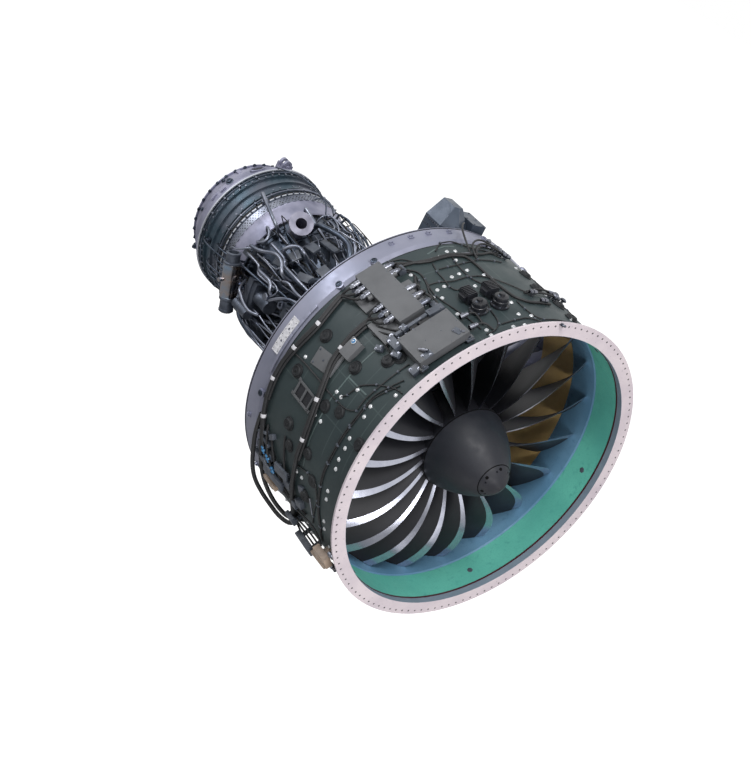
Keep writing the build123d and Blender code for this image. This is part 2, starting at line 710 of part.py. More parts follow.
with BuildPart() as diffuser_case:
    revolve(half_section([
        (compressor_bore, compressor_back + seat), (case_outer + core_flange, compressor_back + seat),
        (case_outer + core_flange, compressor_back + seat + flange_web),
        (case_outer + 6, compressor_back + seat + flange_web),
        *core_shell, (skirt_back[0] + core_wall + core_flange, turbine_front - flange_web),
        (skirt_back[0] + core_wall + core_flange, turbine_front), skirt_back, skirt_front, chamber_back,
        chamber_front, cone_back, cone_front,
    ]), axis=Axis.Y)
    revolve(half_section([
        (184, 1936), (192, 1936), (192, 2010), (high_bearing_radius + seat + 12, rear_bearing_station + 30),
        (high_bearing_radius + seat, rear_bearing_station + 30),
        (high_bearing_radius + seat, rear_bearing_station), (184, 1990),
    ]), axis=Axis.Y)
    revolve(half_section([
        (shroud_radius, shroud_front + 4), (shroud_radius + 12, shroud_front + 4),
        (shroud_radius + 12, shroud_back - 14), (skirt_front[0] + 8, shroud_back - 14),
        (skirt_front[0] + 10, shroud_back), (shroud_radius, shroud_back),
    ]), axis=Axis.Y)
    add(diffuser_struts.part)
    add(around(injector.part, injector_count, 11.25))
    with BuildSketch(Plane(bleed_root, z_dir=clock_point(620, 39, 2190) - bleed_root)):
        Circle(bleed_radius)
    extrude(amount=120, mode=Mode.SUBTRACT)
diffuser_case.part.label = "diffuser_case"
export_step(diffuser_case.part, "parts/diffuser_case.step")

# Combustor liner: inner and outer walls with a domed front, hung from the case by its back flange
dome_station = 2080.0
liner_outer = 376.0
liner_inner = 236.0
liner_wall = 4.0
liner_flange_front = combustor_back - 28
with BuildPart() as combustor_liner:
    revolve(half_section([
        (liner_inner, dome_station + 30), (liner_inner + 26, dome_station), (liner_outer - 26, dome_station),
        (liner_outer, dome_station + 30), (liner_outer, liner_flange_front),
        (line_radius(chamber_front, chamber_back, liner_flange_front) - seat, liner_flange_front),
        (line_radius(chamber_front, chamber_back, liner_flange_front) - seat, liner_flange_front + 8),
        (liner_outer - liner_wall, liner_flange_front + 8), (liner_outer - liner_wall, dome_station + 32),
        (liner_outer - 28, dome_station + liner_wall), (liner_inner + 28, dome_station + liner_wall),
        (liner_inner + liner_wall, dome_station + 32), (liner_inner + liner_wall, combustor_back - 20),
        (liner_inner, combustor_back - 20),
    ]), axis=Axis.Y)
    with BuildSketch(station(dome_station - 2)):
        with PolarLocations((liner_inner + liner_outer) / 2, injector_count, start_angle=11.25):
            Circle(18)
    extrude(amount=-20, mode=Mode.SUBTRACT)
combustor_liner.part.label = "combustor_liner"
export_step(combustor_liner.part, "parts/combustor_liner.step")

# High-pressure turbine: two bladed disks joined by a spacer, on the high shaft
turbine_disks = [2455.0, 2545.0]
turbine_blades = 24
rim_radius = 214.0
with BuildPart() as high_turbine_rotor:
    for disk in turbine_disks:
        revolve(half_section([
            (high_shaft_radius + seat, disk - 30), (high_shaft_radius + 30, disk - 30), (130, disk - 8),
            (rim_radius - 22, disk - 8), (rim_radius - 14, disk - 20), (rim_radius, disk - 20),
            (rim_radius, disk + 20), (rim_radius - 14, disk + 20), (rim_radius - 22, disk + 8),
            (130, disk + 8), (high_shaft_radius + 30, disk + 30), (high_shaft_radius + seat, disk + 30),
        ]), axis=Axis.Y)
        add(plate_row(rim_radius - 4, shroud_radius - blade_tip_gap, disk, 34, 7, 35, turbine_blades))
    revolve(half_section([
        (rim_radius - 12, turbine_disks[0] + 18), (rim_radius - 4, turbine_disks[0] + 18),
        (rim_radius - 4, turbine_disks[1] - 18), (rim_radius - 12, turbine_disks[1] - 18),
    ]), axis=Axis.Y)
high_turbine_rotor.part.label = "high_turbine_rotor"
export_step(high_turbine_rotor.part, "parts/high_turbine_rotor.step")

# Turbine case: a flared shell with rails and flanges that carries the low turbine's vanes
turbine_bore = ((skirt_back[0] + 4, turbine_front + seat), (500.0, exhaust_front))
rail_stations = [2774.0, 2856.0, 2938.0]
rail_height = 20.0
low_stages = [2778.0, 2862.0, 2944.0]
low_vanes = [2820.0, 2903.0]
low_drum_radius = 312.0
low_blades = 30
nozzle_ring_radius = 300.0
bore_front, bore_back = turbine_bore[0][0], turbine_bore[1][0]
with BuildPart() as turbine_vanes:
    add(plate_row(nozzle_ring_radius - 2, bore_front + 5, 2721, 32, 7, -30, 20))
    for row in low_vanes:
        add(plate_row(low_drum_radius + 8, line_radius(*turbine_bore, row) + 4, row, 28, 6, -30, 24))
    revolve(half_section([
        (nozzle_ring_radius + seat, turbine_front), (bore_front - seat, turbine_front),
        (bore_back - seat, exhaust_front), (nozzle_ring_radius + seat, exhaust_front),
    ]), axis=Axis.Y, mode=Mode.INTERSECT)
with BuildPart() as turbine_case:
    revolve(half_section([
        turbine_bore[0], (bore_front + core_flange + 4, turbine_bore[0][1]),
        (bore_front + core_flange + 4, turbine_bore[0][1] + flange_web),
        (bore_front + core_wall, turbine_bore[0][1] + flange_web),
        (bore_back + core_wall, exhaust_front - flange_web),
        (bore_back + core_wall + core_flange, exhaust_front - flange_web),
        (bore_back + core_wall + core_flange, exhaust_front), turbine_bore[1],
    ]), axis=Axis.Y)
    for rail in rail_stations:
        base = line_radius(*turbine_bore, rail) + 4
        revolve(half_section([
            (base, rail - 6), (base + rail_height, rail - 6), (base + rail_height, rail + 6), (base, rail + 6),
        ]), axis=Axis.Y)
    revolve(half_section([
        (nozzle_ring_radius - 10, 2702), (nozzle_ring_radius, 2702), (nozzle_ring_radius, 2738),
        (nozzle_ring_radius - 10, 2738),
    ]), axis=Axis.Y)
    add(turbine_vanes.part)
turbine_case.part.label = "turbine_case"
export_step(turbine_case.part, "parts/turbine_case.step")

# Low-pressure turbine: a drum with three stages on a web from the low shaft
with BuildPart() as low_turbine_rotor:
    revolve(half_section([
        (low_drum_radius - 12, 2754), (low_drum_radius, 2754), (low_drum_radius, 2968),
        (low_drum_radius - 12, 2968), (low_drum_radius - 12, 2870), (low_hub_radius, 2862),
        (low_hub_radius, 2890), (low_shaft_radius + seat, 2890), (low_shaft_radius + seat, 2830),
        (low_hub_radius, 2830), (low_hub_radius, 2846), (low_drum_radius - 12, 2850),
    ]), axis=Axis.Y)
    for stage in low_stages:
        add(plate_row(
            low_drum_radius - 4, line_radius(*turbine_bore, stage - 14) - blade_tip_gap,
            stage, stage_chord * 0.8, stage_thickness, 35, low_blades,
        ))
low_turbine_rotor.part.label = "low_turbine_rotor"
export_step(low_turbine_rotor.part, "parts/low_turbine_rotor.step")

# Exhaust case: an outer ring with a bolted rim, struts to a hub with the rear bearing, and the aft mount clevis
rim_web = 10.0
exhaust_struts = 12
exhaust_bearing_station = 3045.0
hub_wall = 10.0
aft_lug_stations = [3052.0, 3104.0]
aft_lug_thickness = 24.0
aft_lug_radius = 542.0
aft_pin_radius = 16.0
aft_saddle_top = 516.0
exhaust_mouth = (exhaust_front_radius, exhaust_front + seat)
exhaust_waist = (485.0, 3113.0)
exhaust_exit = (exhaust_radius - 20, engine_back)
exhaust_shell = (
    (exhaust_front_radius + core_wall, exhaust_front + seat + flange_web), (493.0, 3115.0),
    (exhaust_radius - 12, engine_back - rim_web),
)
with BuildPart() as exhaust_vanes:
    add(plate_row(200, 560, 3125, 140, 14, 0, exhaust_struts))
    revolve(half_section([
        (exhaust_hub_radius + seat, 3040), (line_radius(exhaust_mouth, exhaust_waist, 3040) - seat, 3040),
        (exhaust_waist[0] - seat, exhaust_waist[1]),
        (line_radius(exhaust_waist, exhaust_exit, 3225) - seat, 3225), (exhaust_hub_radius + seat, 3225),
    ]), axis=Axis.Y, mode=Mode.INTERSECT)
with BuildPart() as aft_clevis:
    for lug in aft_lug_stations:
        with BuildSketch(station(lug)):
            with Locations((0, 515)):
                Rectangle(96, 54)
            with Locations((0, aft_lug_radius)):
                Circle(34)
                Circle(aft_pin_radius, mode=Mode.SUBTRACT)
        extrude(amount=-aft_lug_thickness)
    with BuildSketch(station(aft_lug_stations[0])):
        with Locations((0, aft_saddle_top - 18)):
            Rectangle(96, 36)
    extrude(amount=aft_lug_stations[0] - aft_lug_stations[1] - aft_lug_thickness)
    revolve(half_section([
        (0, 3030), (line_radius(exhaust_shell[0], exhaust_shell[1], 3030) + seat, 3030),
        (exhaust_shell[1][0] + seat, exhaust_shell[1][1]),
        (line_radius(exhaust_shell[1], exhaust_shell[2], 3150) + seat, 3150), (0, 3150),
    ]), axis=Axis.Y, mode=Mode.SUBTRACT)
with BuildPart() as exhaust_case:
    revolve(half_section([
        exhaust_mouth, (bore_back + core_wall + core_flange, exhaust_front + seat),
        (bore_back + core_wall + core_flange, exhaust_front + seat + flange_web), *exhaust_shell,
        (exhaust_radius, engine_back - rim_web), (exhaust_radius, engine_back), exhaust_exit, exhaust_waist,
    ]), axis=Axis.Y)
    revolve(half_section([
        (exhaust_hub_radius - hub_wall, 3030), (exhaust_hub_radius, 3030), (exhaust_hub_radius, 3230),
        (exhaust_hub_radius - hub_wall, 3230),
    ]), axis=Axis.Y)
    revolve(half_section([
        (low_bearing_radius + seat, exhaust_bearing_station), (low_bearing_radius + seat + 14, exhaust_bearing_station),
        (exhaust_hub_radius - hub_wall + 2, 3090), (exhaust_hub_radius - hub_wall + 2, 3102),
        (low_bearing_radius + seat + 14, 3075), (low_bearing_radius + seat, 3075),
    ]), axis=Axis.Y)
    revolve(half_section([
        (0, 3214), (exhaust_hub_radius - hub_wall + 2, 3222), (exhaust_hub_radius - hub_wall + 2, 3229), (0, 3221),
    ]), axis=Axis.Y)
    add(exhaust_vanes.part)
    add(aft_clevis.part)
exhaust_case.part.label = "exhaust_case"
export_step(exhaust_case.part, "parts/exhaust_case.step")

# Low shaft: a hollow shaft from the sun gear to the rear bearing
with BuildPart() as low_shaft:
    revolve(half_section([
        (low_shaft_bore, gear_front - 4), (low_shaft_radius, gear_front - 4), (low_shaft_radius, 3085),
        (low_shaft_bore, 3085),
    ]), axis=Axis.Y)
    with BuildSketch(station(gear_front)):
        add(gear_outline(
            sun_teeth, sun_pitch_radius + 0.85 * gear_module, sun_pitch_radius - 1.15 * gear_module,
            gear_backlash, 90,
        ))
        Circle(low_shaft_radius - 5, mode=Mode.SUBTRACT)
    extrude(amount=-gear_width)
low_shaft.part.label = "low_shaft"
export_step(low_shaft.part, "parts/low_shaft.step")

# Shaft bearings: one ring for each support
with BuildPart() as shaft_bearings:
    for shaft, place in (
        (fan_shaft_radius, 604), (low_shaft_radius, front_bearing_station),
        (high_shaft_radius, high_bearing_station), (high_shaft_radius, rear_bearing_station),
        (low_shaft_radius, exhaust_bearing_station),
    ):
        revolve(half_section([
            (shaft + running_gap, place), (shaft + running_gap + bearing_wall, place),
            (shaft + running_gap + bearing_wall, place + bearing_length), (shaft + running_gap, place + bearing_length),
        ]), axis=Axis.Y)
shaft_bearings.part.label = "shaft_bearings"
export_step(shaft_bearings.part, "parts/shaft_bearings.step")


def pipe_route(points):
    """Straight runs joined by arcs through points given as radius, clock angle and station."""
    corners = [clock_point(*point) for point in points]
    radii = []
    for before, corner, after in zip(corners, corners[1:], corners[2:]):
        turn = radians((corner - before).get_angle(after - corner))
        radii.append(0.45 * min((corner - before).length, (after - corner).length) / tan(turn / 2))
    print("route radii", [round(radius) for radius in radii])
    with BuildLine() as route:
        FilletPolyline(corners, radius=radii)
    return route.line


def tube(points, radius):
    """A round tube along a route."""
    path = pipe_route(points)
    with BuildPart() as body:
        with BuildSketch(Plane(path @ 0, z_dir=path % 0)):
            Circle(radius)
        sweep(path=path)
    return body.part


# Electronic boxes on the fan case, each on feet or rails, with round connectors on their long sides
case_seat = case_radius + seat
rear_box_clock, rear_box_station = 45.4, 705.0
rear_box_length, rear_box_width = 520.0, 176.0
box_floor = 1098.0
box_top = 1150.0
front_box_clock, front_box_station = 45.3, 215.0
front_box_length, front_box_width = 250.0, 352.0
rail_length, rail_width = 350.0, 30.0
rail_station = 258.0
connector_radius = 17.0
connector_length = 34.0
box_sink = 24.0
with BuildPart() as under_case:
    revolve(half_section([
        (case_seat - 2 * box_sink, 0), (case_seat, 0), (case_seat, case_back), (case_seat - 2 * box_sink, case_back),
    ]), axis=Axis.Y)
with BuildPart() as control_unit:
    with BuildSketch(outward(box_floor, rear_box_clock, rear_box_station)):
        RectangleRounded(rear_box_length, rear_box_width, 6)
    extrude(amount=box_top - box_floor)
    with BuildSketch(outward(case_seat - box_sink, rear_box_clock, rear_box_station)):
        with GridLocations(rear_box_length - 60, rear_box_width - 60, 2, 2):
            Rectangle(40, 40)
    extrude(amount=box_floor - case_seat + box_sink + 1)
    add(under_case.part, mode=Mode.SUBTRACT)
    for side, places in ((1, (-180, -130, 60, 110)), (-1, (-190, -140, -90, 120, 170))):
        with BuildSketch(
            Plane(
                outward(box_floor, rear_box_clock, rear_box_station).from_local_coords(
                    Vector(0, side * (rear_box_width / 2 - 1), (box_top - box_floor) / 2)
                ),
                x_dir=(0, 1, 0),
                z_dir=clock_point(1, rear_box_clock + 90 * side, 0),
            )
        ):
            with Locations([(place, 0) for place in places]):
                Circle(connector_radius)
        extrude(amount=connector_length)
control_unit.part.label = "control_unit"
export_step(control_unit.part, "parts/control_unit.step")

with BuildPart() as sensor_unit:
    with BuildSketch(outward(box_floor, front_box_clock, front_box_station)):
        RectangleRounded(front_box_length, front_box_width, 6)
    extrude(amount=box_top - box_floor)
    with BuildSketch(outward(case_seat - box_sink, front_box_clock, rail_station)):
        with GridLocations(rail_length - rail_width, front_box_width - 20, 2, 2):
            Rectangle(rail_width, 44)
        with GridLocations(0, front_box_width - 20, 1, 2):
            Rectangle(rail_length, 16)
    extrude(amount=box_floor - case_seat + box_sink + 1)
    add(under_case.part, mode=Mode.SUBTRACT)
sensor_unit.part.label = "sensor_unit"
export_step(sensor_unit.part, "parts/sensor_unit.step")

# Thick harnesses clipped along the fan case
harness_radius = 16.0
harness_height = case_seat + harness_radius + 5
rear_harness_route = [
    (harness_height, 57, 950), (harness_height, 62.8, 930), (harness_height, 68, 915),
    (harness_height, 73.5, 925), (harness_height, 79, 947), (harness_height, 85, 968),
    (harness_height, 92, 976), (harness_height, 99, 968), (harness_height, 106, 952),
    (harness_height, 112, 930),
]
front_harness_route = [
    (harness_height, 57, 650), (harness_height, 62, 656), (harness_height, 68, 641),
    (harness_height, 73, 632), (harness_height, 79, 582), (harness_height, 85, 548),
    (harness_height, 92, 520), (harness_height, 99, 512), (harness_height, 106, 520),
]
clamp_size = 26.0
with BuildPart() as case_harness:
    for route in (rear_harness_route, front_harness_route):
        add(tube(route, harness_radius))
        for height, clock, place in route[1:-1:2]:
            with BuildSketch(outward(case_seat, clock, place)):
                Rectangle(clamp_size, clamp_size)
            extrude(amount=height - case_seat)
case_harness.part.label = "case_harness"
export_step(case_harness.part, "parts/case_harness.step")

# Round pads that cushion the cowls against the case
pad_radius = 38.0
pad_height = 26.0
pad_places = [
    (69, 814), (84, 832), (69, 468), (60, 325), (100, 700), (118, 830), (118, 400), (140, 620),
    (350, 193), (348, 362), (352, 523), (348, 722), (330, 300), (326, 640), (300, 440), (296, 800),
    (262, 300), (258, 640), (226, 440), (222, 820), (190, 260), (186, 700), (160, 300), (158, 860),
]
with BuildPart() as case_pads:
    for clock, place in pad_places:
        with BuildSketch(outward(case_seat, clock, place)):
            Circle(pad_radius)
        extrude(amount=pad_height, taper=8)
case_pads.part.label = "case_pads"
export_step(case_pads.part, "parts/case_pads.step")

# Control valves: dark canisters with a square head behind each, on the case beside the front box
valve_places = [(26.2, 300), (18.2, 297)]
with BuildPart() as case_valves:
    for clock, place in valve_places:
        with BuildSketch(outward(case_seat, clock, place)):
            Circle(58)
        extrude(amount=12)
        with BuildSketch(outward(case_seat + 11, clock, place)):
            Circle(44)
        extrude(amount=56)
        with BuildSketch(outward(case_seat, clock, place + 118)):
            Rectangle(96, 70)
        extrude(amount=66)
        with BuildSketch(outward(case_seat, clock, place + 60)):
            Rectangle(60, 40)
        extrude(amount=40)
case_valves.part.label = "case_valves"
export_step(case_valves.part, "parts/case_valves.step")

# Top fairing: a hollow prow behind the rear case, held on the case's back edge and on the mount pad, with a side box
fairing_base = mount_pad_top - 44
fairing_shoulder = 1060.0
fairing_peak = 1190.0
fairing_wall = 8.0


def prow_outline(nose, half_width, shoulder, back):
    """The fairing's plan: a sharp nose that widens to straight sides."""
    with BuildSketch(Plane.XY) as outline:
        with BuildLine():
            Polyline(
                (0, nose), (-half_width, shoulder), (-half_width, back), (half_width, back),
                (half_width, shoulder), close=True,
            )
        make_face()
    return outline.sketch


fairing_nose = rear_case_back + 17
fairing_back = rear_case_back + 247
fairing_half_width = 120.0
peak_nose = fairing_nose + 92
peak_half_width = 36.0
with BuildPart() as prow_hollow:
    with BuildSketch(Plane.XY.offset(fairing_base - 1)):
        add(prow_outline(
            fairing_nose + 2 * fairing_wall, fairing_half_width - fairing_wall,
            fairing_nose + 62 + fairing_wall, fairing_back + 1,
        ))
    extrude(amount=fairing_shoulder - fairing_base + 1)
    with BuildSketch(Plane.XY.offset(fairing_shoulder)):
        add(prow_outline(
            fairing_nose + 2 * fairing_wall, fairing_half_width - fairing_wall,
            fairing_nose + 62 + fairing_wall, fairing_back + 1,
        ))
    with BuildSketch(Plane.XY.offset(fairing_peak - fairing_wall)):
        add(prow_outline(
            peak_nose + 2 * fairing_wall, peak_half_width - fairing_wall, peak_nose + 8 + fairing_wall,
            fairing_back + 1,
        ))
    loft()
with BuildPart() as top_fairing:
    with BuildSketch(Plane.XY.offset(fairing_base)):
        add(prow_outline(fairing_nose, fairing_half_width, fairing_nose + 62, fairing_back))
    extrude(amount=fairing_shoulder - fairing_base)
    with BuildSketch(Plane.XY.offset(fairing_shoulder)):
        add(prow_outline(fairing_nose, fairing_half_width, fairing_nose + 62, fairing_back))
    with BuildSketch(Plane.XY.offset(fairing_peak)):
        add(prow_outline(peak_nose, peak_half_width, peak_nose + 8, fairing_back))
    loft()
    add(prow_hollow.part, mode=Mode.SUBTRACT)
    with BuildSketch(Plane.XY.offset(duct_radius + 10)):
        with Locations((0, rear_case_back + seat + 18)):
            Rectangle(60, 36)
    extrude(amount=rear_case_radius - duct_radius - 20)
    with BuildSketch(Plane.XY.offset(fairing_base)):
        with Locations((0, mount_pad_back + seat + 22)):
            Rectangle(80, 44)
    extrude(amount=mount_pad_top - 4 - fairing_base)
    with BuildSketch(Plane.XY.offset(rear_case_radius - 40)):
        with Locations((fairing_half_width + 55, fairing_nose + 120)):
            RectangleRounded(118, 200, 8)
    extrude(amount=70)
top_fairing.part.label = "top_fairing"
export_step(top_fairing.part, "parts/top_fairing.step")


def core_top(y):
    """A radius that just clears the core's outer shell behind the compressor, near a station."""
    reach = y + boss_radius
    if reach > turbine_front - flange_web:
        return skirt_back[0] + core_wall + core_flange + seat
    for start, end in zip(core_shell, core_shell[1:]):
        if start[1] <= reach <= end[1]:
            return line_radius(start, end, reach) + seat
    return case_outer + core_flange + seat


# Accessory gearbox: a curved casting that hugs the core, with the machines it drives on its front and back
gearbox_clock = 125.0
gearbox_inner, gearbox_outer = 445.0, 560.0
gearbox_half_angle = 35.0
gearbox_front, gearbox_back = 2130.0, 2240.0
machine_ring = 505.0
boss_radius = 22.0
foot_front, foot_back = gearbox_back - 35, gearbox_back - 5
foot_radius = line_radius(chamber_front, chamber_back, foot_back) + core_wall + seat
with BuildPart() as accessory_gearbox:
    with BuildSketch(station(gearbox_front)):
        add(ring_sector(gearbox_inner, gearbox_outer, gearbox_half_angle))
    extrude(amount=-(gearbox_back - gearbox_front))
    with BuildSketch(station(gearbox_front + 44)):
        add(ring_sector(gearbox_inner - 4, gearbox_outer + 10, gearbox_half_angle + 1))
    extrude(amount=-22)
    for turn in (-30, 0, 30):
        with BuildSketch(station(foot_front)):
            add(ring_sector(foot_radius, gearbox_inner + 3, 4).rotate(Axis.Z, turn))
        extrude(amount=-(foot_back - foot_front))
    for turn, radius, near, far in (
        (0, 62, gearbox_back - 2, 2440), (25, 56, gearbox_back - 2, 2400), (-25, 52, 1980, gearbox_front + 2),
        (25, 44, 2010, gearbox_front + 2), (0, 36, 2060, gearbox_front + 2),
    ):
        centre = clock_point(machine_ring, turn, 0)
        with BuildSketch(station(near)):
            with Locations((centre.X, centre.Z)):
                Circle(radius)
        extrude(amount=-(far - near))
    pump = clock_point(gearbox_outer + 28, -12, 0)
    with BuildSketch(station(gearbox_front - 20)):
        with Locations((pump.X, pump.Z)):
            Circle(38)
    extrude(amount=-170)
turned_gearbox = accessory_gearbox.part.rotate(Axis.Y, -gearbox_clock)
turned_gearbox.label = "accessory_gearbox"
export_step(turned_gearbox, "parts/accessory_gearbox.step")

# Oil tank: a polished canister beside the gearbox, on two legs, with end bands and a filler neck
tank_radius = 65.0
tank_ring = 612.0
tank_start = clock_point(tank_ring, 89.5, 2414)
tank_end = clock_point(tank_ring, 114, 2366)
tank_axis = tank_end - tank_start
with BuildPart() as oil_tank:
    with BuildSketch(Plane(tank_start, z_dir=tank_axis)):
        Circle(tank_radius - 4)
    extrude(amount=tank_axis.length)
    fillet(oil_tank.edges(), 14)
    for share in (0.14, 0.5, 0.86):
        with BuildSketch(Plane(tank_start + tank_axis * (share - 0.03), z_dir=tank_axis)):
            Circle(tank_radius)
        extrude(amount=tank_axis.length * 0.06)
    with BuildSketch(outward(tank_ring, 101, 2390)):
        Circle(16)
    extrude(amount=tank_radius + 16)
    for clock, place in ((95, 2402), (108, 2377)):
        with BuildSketch(outward(core_top(place), clock, place)):
            Rectangle(24, 56)
        extrude(amount=tank_ring - 20 - core_top(place))
oil_tank.part.label = "oil_tank"
export_step(oil_tank.part, "parts/oil_tank.step")

# Core pipes: bent tubes over the core, each end on a boss that sits on the shell
pipe_radius = 13.0
pipe_ring = 600.0
pipe_routes = [
    [(0, 73.5, 2402), (pipe_ring, 73, 2392), (pipe_ring, 71.1, 2264), (pipe_ring, 63.7, 2117),
     (pipe_ring, 64.6, 2017), (pipe_ring, 71, 1950), (0, 74.5, 1930)],
    [(0, 60.5, 2112), (pipe_ring, 59.5, 2106), (pipe_ring, 53.5, 2078), (pipe_ring, 49.7, 2025),
     (pipe_ring, 50.4, 1951), (0, 50.6, 1930)],
    [(0, 80, 2200), (pipe_ring, 80.1, 2189), (pipe_ring, 79, 1980), (pipe_ring, 86, 1935), (0, 92, 1930)],
    [(0, 52, 2342), (pipe_ring + 20, 51, 2335), (pipe_ring + 20, 42.5, 2690), (0, 42.2, 2698)],
    [(0, 300, 2300), (pipe_ring, 300, 2290), (pipe_ring, 312, 2120), (pipe_ring, 312, 1945), (0, 312, 1930)],
    [(0, 250, 2450), (pipe_ring, 250, 2440), (pipe_ring, 238, 2230), (pipe_ring, 238, 1945), (0, 238, 1930)],
]
with BuildPart() as core_pipes:
    for route in pipe_routes:
        ends = [(core_top(place) + 12, clock, place) for radius, clock, place in (route[0], route[-1])]
        add(tube([ends[0], *route[1:-1], ends[1]], pipe_radius))
        for height, clock, place in ends:
            with BuildSketch(outward(core_top(place), clock, place)):
                Circle(boss_radius)
            extrude(amount=24)
core_pipes.part.label = "core_pipes"
export_step(core_pipes.part, "parts/core_pipes.step")

# Bleed duct: a slanted stub on the core shell that ends in a port flange
bleed_flange = clock_point(620, 39, 2190)
bleed_axis = bleed_flange - bleed_root
with BuildPart() as under_chamber:
    revolve(half_section([
        (300, core_shell[1][1]), *[(radius + seat, y) for radius, y in core_shell[1:5]], (300, core_shell[4][1]),
    ]), axis=Axis.Y)
with BuildPart() as bleed_duct:
    with BuildSketch(Plane(bleed_root, z_dir=bleed_axis)):
        Circle(bleed_radius + 12)
    extrude(amount=bleed_axis.length)
    with BuildSketch(Plane(bleed_flange, z_dir=bleed_axis)):
        Circle(bleed_radius + 46)
    extrude(amount=14)
    with BuildSketch(Plane(bleed_root, z_dir=bleed_axis)):
        Circle(bleed_radius)
    extrude(amount=bleed_axis.length + 20, mode=Mode.SUBTRACT)
    add(under_chamber.part, mode=Mode.SUBTRACT)
bleed_duct.part.label = "bleed_duct"
export_step(bleed_duct.part, "parts/bleed_duct.step")
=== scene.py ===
import math
import random

import bmesh
import bpy
from mathutils import Matrix, Vector


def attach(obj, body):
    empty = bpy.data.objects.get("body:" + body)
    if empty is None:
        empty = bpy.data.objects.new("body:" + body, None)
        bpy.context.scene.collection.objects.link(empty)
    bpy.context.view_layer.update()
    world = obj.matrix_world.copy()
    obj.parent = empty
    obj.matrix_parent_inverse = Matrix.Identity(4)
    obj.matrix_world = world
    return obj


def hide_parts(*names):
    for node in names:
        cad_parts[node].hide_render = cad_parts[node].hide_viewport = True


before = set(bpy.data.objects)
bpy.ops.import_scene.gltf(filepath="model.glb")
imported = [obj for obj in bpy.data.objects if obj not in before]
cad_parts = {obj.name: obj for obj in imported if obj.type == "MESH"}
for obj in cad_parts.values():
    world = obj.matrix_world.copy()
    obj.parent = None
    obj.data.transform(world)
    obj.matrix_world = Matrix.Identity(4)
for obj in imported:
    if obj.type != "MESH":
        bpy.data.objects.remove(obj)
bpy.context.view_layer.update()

STATIC = "static_frame"
FAN = "fan_rotor"

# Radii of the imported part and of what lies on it, in metres
CASE_RADIUS = 1.0823
REAR_RADIUS = 1.095
FLANGE_RADIUS = 1.13
BOLT_RING = 1.103
DUCT_RADIUS = 1.035
HARNESS_RADIUS = 1.1036
BOX_TOP = 1.15
BOX_MIDDLE = 1.124
HUB_RADIUS = 0.304
BLADE_SPAN = 0.722

# Light and camera
FOCAL_PIXELS = 1600
PICTURE_HEIGHT = 762
SENSOR = 36
AMBIENT = 0.44
FLOOR_GLOW = 0.9
FLOOR_HEIGHT = -4.6
SMOOTH_ANGLE = math.radians(38)


# Places on the engine: radius, clock angle from the top and station along the axis
def at(radius, clock, station):
    turn = math.radians(clock)
    return Vector((-radius * math.sin(turn), station, radius * math.cos(turn)))


def shift(x, y, z):
    return Matrix.Translation((x, y, z))


def rotation(degrees, axis):
    return Matrix.Rotation(math.radians(degrees), 4, axis)


def seat(radius, clock, station, spin=0, tilt=None):
    """A frame on a cylinder: local x aft, local y to a larger clock angle, z outwards."""
    out = at(1, clock, 0)
    aft = Vector((0, 1, 0))
    place = Matrix((aft, out.cross(aft), out)).transposed().to_4x4()
    place.translation = at(radius, clock, station)
    place = place @ rotation(spin, "Z")
    return place @ rotation(tilt[1], tilt[0]) if tilt else place


def on_case(clock, station, spin=0, tilt=None):
    return seat(CASE_RADIUS, clock, station, spin, tilt)


def along(start, end):
    """A frame at start with z towards end."""
    place = (end - start).to_track_quat("Z", "Y").to_matrix().to_4x4()
    place.translation = start
    return place


# Materials
def linear(colour):
    """Linear values of a colour that is given as screen values from 0 to 255."""
    shares = [value / 255 for value in colour]
    return (*(share / 12.92 if share <= 0.04045 else ((share + 0.055) / 1.055) ** 2.4
              for share in shares), 1)


class Nodes:
    """A node tree, with short calls for the nodes used here."""

    def __init__(self, tree):
        self.tree = tree

    def feed(self, socket, value):
        if isinstance(value, bpy.types.NodeSocket):
            self.tree.links.new(value, socket)
        else:
            socket.default_value = linear(value) if socket.type == "RGBA" else value

    def node(self, kind, inputs=(), **values):
        made = self.tree.nodes.new(kind)
        for key, value in values.items():
            setattr(made, key, value)
        for key, value in dict(inputs).items():
            self.feed(made.inputs[key], value)
        return made

    def sum(self, operation, *values):
        return self.node("ShaderNodeMath", enumerate(values), operation=operation).outputs[0]

    def times(self, *values):
        return self.sum("MULTIPLY", *values)

    def plus(self, *values):
        return self.sum("ADD", *values)

    def mix(self, factor, first, second):
        return self.node("ShaderNodeMix", {0: factor, 6: first, 7: second}, data_type="RGBA").outputs[2]

    def ramp(self, factor, low, high, bottom=0, top=1):
        inputs = enumerate((factor, low, high, bottom, top))
        return self.node("ShaderNodeMapRange", inputs, clamp=True).outputs[0]


